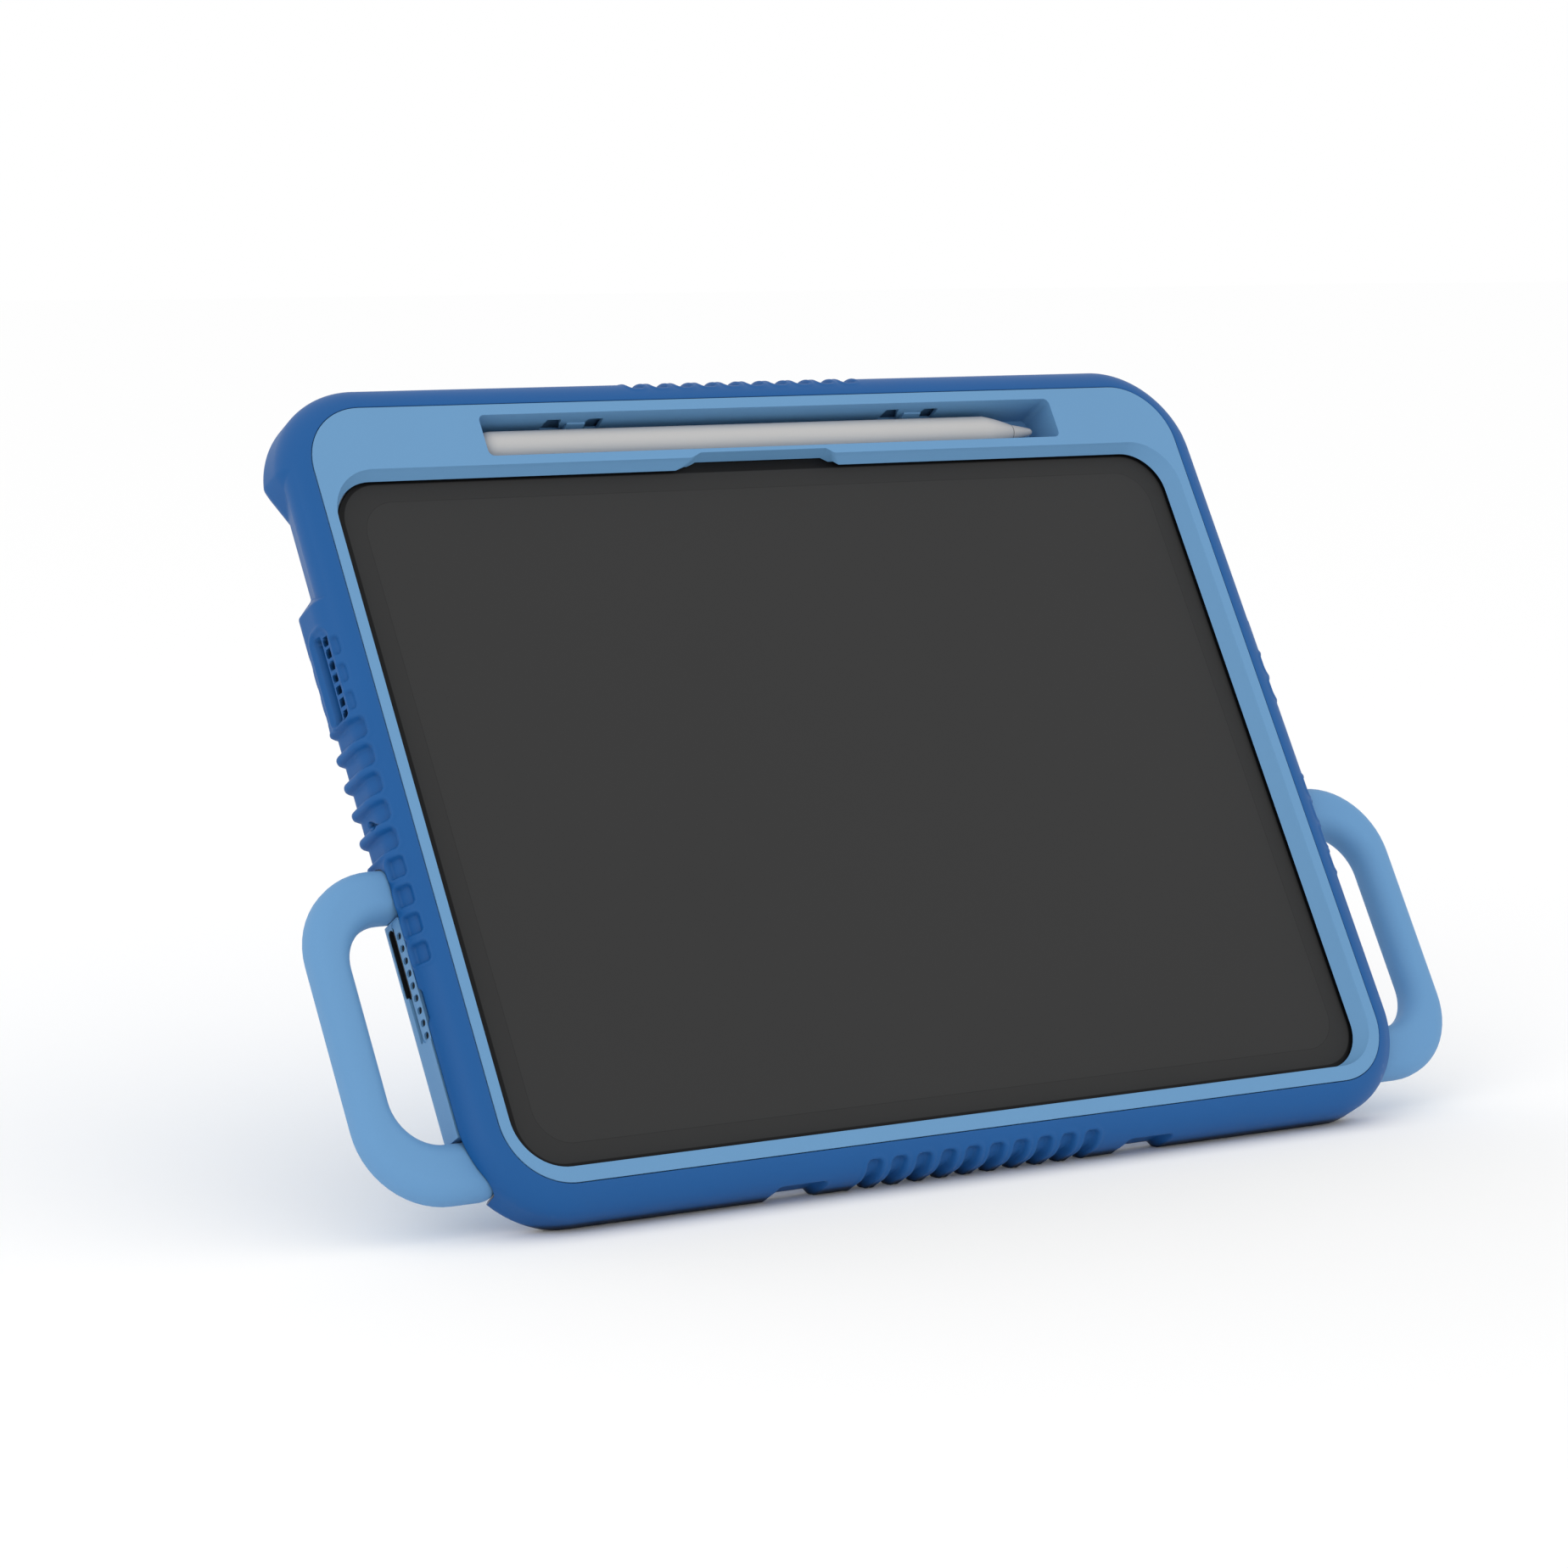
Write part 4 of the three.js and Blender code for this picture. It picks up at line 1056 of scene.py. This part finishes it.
def handle(side):
    columns = handle_ring()
    stations = len(columns[0][0])
    work = bmesh.new()

    def point(x, y, z):
        return work.verts.new((side * x, y, PIN_Z + z))

    top = [[point(*outline[k], height) for outline, height in columns] for k in range(stations)]
    under = [[point(*outline[k], -height) for outline, height in columns] for k in range(stations)]
    for k in range(stations - 1):
        for j in range(len(columns) - 1):
            work.faces.new((top[k][j], top[k][j + 1], top[k + 1][j + 1], top[k + 1][j]))
            work.faces.new((under[k][j], under[k + 1][j], under[k + 1][j + 1], under[k][j + 1]))
        for j in (0, len(columns) - 1):
            work.faces.new((top[k][j], top[k + 1][j], under[k + 1][j], under[k][j]))
    for k in (0, stations - 1):
        arcs = []
        for j, (outline, height) in enumerate(columns):
            turn = [math.radians(90 + 15 * i) for i in range(1, 12)]
            middle = [point(PIN_X + height * math.cos(a), outline[k][1], height * math.sin(a)) for a in turn]
            arcs.append([top[k][j], *middle, under[k][j]])
        for first, second in zip(arcs, arcs[1:]):
            for i in range(len(first) - 1):
                work.faces.new((first[i], first[i + 1], second[i + 1], second[i]))
        work.faces.new(arcs[0])
        work.faces.new(arcs[-1])
    made = bench_object("handle", [], [])
    work.to_mesh(made.data)
    work.free()
    return made


for side, side_word in ((-1, "left"), (1, "right")):
    name = f"handle_{side_word}"
    deliver(handle(side), f"{name}_grip", name, "light_grip", name, sharp=60, weighted=False)

# %% [markdown]
# The stand is a thin plate on a pinned knuckle. Shallow pockets lighten it and leave two ribs. A
# strip of rubber along its foot is trimmed level with the table. It is modelled folded flat about
# its hinge line and is then turned open, by the angle from which its joint folds it away.

# %% Stand
STAND_OPEN = -joints["stand_fold"]["range_deg"][0]
PLATE_LENGTH = 116.5
PLATE_HALF = 1.3


def opened(piece):
    return moved(turned(piece, STAND_OPEN, "X"), y=HINGE_Y, z=HINGE_Z)


def stand_plate():
    made = slab(-44, 44, -PLATE_LENGTH, -5, -PLATE_HALF, PLATE_HALF, 14, ease=0.7, steps=12)
    neck = slab(-30, 30, -8, 0, -PLATE_HALF + 0.05, PLATE_HALF - 0.05, 0.4)
    knuckle = lathe([(-30, 1.1), (-29.6, 1.5), (29.6, 1.5), (30, 1.1)])
    join(made, neck, knuckle)
    pockets = []
    for x0, x1 in ((-37, -14), (-11, 11), (14, 37)):
        for z0, z1 in ((0.75, 3), (-3, -0.75)):
            pockets.append(slab(x0, x1, -104, -17, z0, z1, 5, steps=8))
    cut(made, *pockets)
    cut(made, slab(-38.3, 38.3, -PLATE_LENGTH - 3, -PLATE_LENGTH + 4, -3, 3, 0.05))
    return soften(made, 0.25)


def stand_pad():
    made = slab(-38, 38, -126, -PLATE_LENGTH + 3.7, -1.5, 1.5, 1.2, ease=0.4)
    grooves = []
    for y in (-115, -117, -119):
        for z in (-1.5, 1.5):
            grooves.append(slab(-39, 39, y - 0.35, y + 0.35, z - 0.4, z + 0.4, 0.05))
    return cut(made, *grooves)


deliver(opened(stand_plate()), "stand_plate_moulding", "stand", "light_shell", "stand_plate")
pad = deliver(opened(stand_pad()), "stand_foot_pad", "stand", "pad_rubber", "stand_pad")
trim = bmesh.new()
trim.from_mesh(pad.data)
whole = trim.verts[:] + trim.edges[:] + trim.faces[:]
sliced = bmesh.ops.bisect_plane(trim, geom=whole, plane_co=(0, 0, 0), plane_no=(0, 0, -1), clear_outer=True)
rim = [part for part in sliced["geom_cut"] if isinstance(part, bmesh.types.BMEdge)]
bmesh.ops.contextual_create(trim, geom=rim)
trim.to_mesh(pad.data)
trim.free()
print("pad reaches", round(min(v.co.z for v in pad.data.vertices), 5))

# %% [markdown]
# The stylus is turned work: a long barrel with a rounded end, a cone, and a separate tip behind a
# fine seam. A lathe gives it exactly. The barrel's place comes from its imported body.

# %% Stylus
barrel_low, barrel_high = span("stylus_barrel")
tip_high = span("stylus_tip")[1]
STYLUS_RADIUS = (barrel_high.z - barrel_low.z) / 2
STYLUS_Y = (barrel_low.y + barrel_high.y) / 2
STYLUS_Z = (barrel_low.z + barrel_high.z) / 2
mouth = barrel_high.x


def stylus_barrel():
    start = barrel_low.x
    shoulder = tip_high.x - 16
    end = [
        (start + 3.6 * (1 - math.cos(a)), STYLUS_RADIUS - 3.0 + 3.0 * math.sin(a)) for a in ROUND_ANGLES
    ]
    cone = []
    for i in range(9):
        share = i / 8
        narrowing = 2.25 * (0.75 * share + 0.25 * share**2)
        cone.append((shoulder + share * (mouth - shoulder), STYLUS_RADIUS - narrowing))
    body = [(start + 30 * i, STYLUS_RADIUS) for i in range(1, 5)]
    profile = [*end, *body, (shoulder - 2, STYLUS_RADIUS), *cone, (mouth, 1.9), (mouth - 0.5, 1.6)]
    return lathe(profile, 64)


def stylus_tip():
    end = tip_high.x
    profile = [(mouth - 0.4, 1.6), (mouth + 0.25, 1.7), (mouth + 0.35, 2.1)]
    profile += [(end - 1.2, 1.05), (end - 0.5, 0.8), (end - 0.12, 0.45), (end, 0.1)]
    return lathe(profile, 48)


for maker, name in ((stylus_barrel, "stylus_barrel"), (stylus_tip, "stylus_tip")):
    piece = moved(maker(), y=STYLUS_Y, z=STYLUS_Z)
    deliver(piece, f"{name}_turned", "stylus", "stylus_white", name, sharp=35, weighted=False)

# %% [markdown]
# The cover glass has a ground edge, and the three rubber key covers stand a little proud of the
# recess in the bumper, with rounded edges.

# %% Cover glass and key covers
glass = slab(
    glass_low.x, glass_high.x, glass_low.y, glass_high.y, glass_low.z, glass_high.z,
    17.7, ease=0.25, steps=18,
)
deliver(glass, "cover_glass_pane", "case", "dark_glass", "cover_glass")

for cover in COVERS:
    low, high = span(cover)
    half = (high.z - low.z) / 2
    button = turned(slab(-half, half, low.y, high.y, low.x, high.x, 1.35, ease=0.4), 90, "Y")
    moved(button, z=(low.z + high.z) / 2)
    body = cover.replace("_cover", "_button")
    deliver(button, f"{cover}_cap", body, "bumper_rubber", cover)

# %% [markdown]
# The stage is a plain pale floor that runs up into a pale background, lit softly from above and in
# front, so that the plastics show their true colour with gentle shading.

# %% Stage and lights
floor_mesh = bpy.data.meshes.new("studio_floor")
floor_mesh.from_pydata([(-9, -9, 0), (9, -9, 0), (9, 9, 0), (-9, 9, 0)], [], [(0, 1, 2, 3)])
floor = bpy.data.objects.new("studio_floor", floor_mesh)
bench.objects.link(floor)
floor_finish = Recipe("studio_floor_finish")
floor_finish.set(base_color=(0.99, 0.99, 0.99, 1), roughness=0.9, specular_ior_level=0.0)
floor.data.materials.append(floor_finish.material)

world = bpy.data.worlds.new("studio")
bpy.context.scene.world = world
world.use_nodes = True
world.node_tree.nodes["Background"].inputs["Color"].default_value = (1, 1, 1, 1)
world.node_tree.nodes["Background"].inputs["Strength"].default_value = 1.0


def soft_light(name, place, size, power):
    lamp = bpy.data.lights.new(name, "AREA")
    lamp.shape = "DISK"
    lamp.size = size
    lamp.energy = power
    made = bpy.data.objects.new(name, lamp)
    bench.objects.link(made)
    made.location = place
    aim = Vector((0, 0, 0.09)) - Vector(place)
    made.rotation_euler = aim.to_track_quat("-Z", "Y").to_euler()


soft_light("key", (-1.6, -0.9, 1.1), 1.2, 3.6)
bpy.context.scene.view_settings.view_transform = "Standard"
print("stage ready:", floor.name)

# %% [markdown]
# The camera stands to the left and looks slightly down, with a long lens, so that the case shows
# its left side and its lower edge. It is placed by its distance and direction from a point just
# left of the middle of the glass.

# %% Camera
AZIMUTH = 33.437
LOOKING_DOWN = 7.073
DISTANCE = 1.13137
aim_point = STAND_UP @ Vector((-22.87, 1.53, 0))
azimuth, down = math.radians(AZIMUTH), math.radians(LOOKING_DOWN)
flat = math.cos(down)
sight = Vector((math.sin(azimuth) * flat, math.cos(azimuth) * flat, -math.sin(down)))
lens = bpy.data.cameras.new("camera")
lens.lens = 108.23
lens.sensor_width = 36
lens.sensor_fit = "HORIZONTAL"
lens.clip_start = 0.01
camera = bpy.data.objects.new("camera", lens)
bench.objects.link(camera)
camera.location = aim_point - sight * DISTANCE
camera.rotation_euler = sight.to_track_quat("-Z", "Y").to_euler()
bpy.context.scene.camera = camera
print("camera at", [round(v, 3) for v in camera.location])
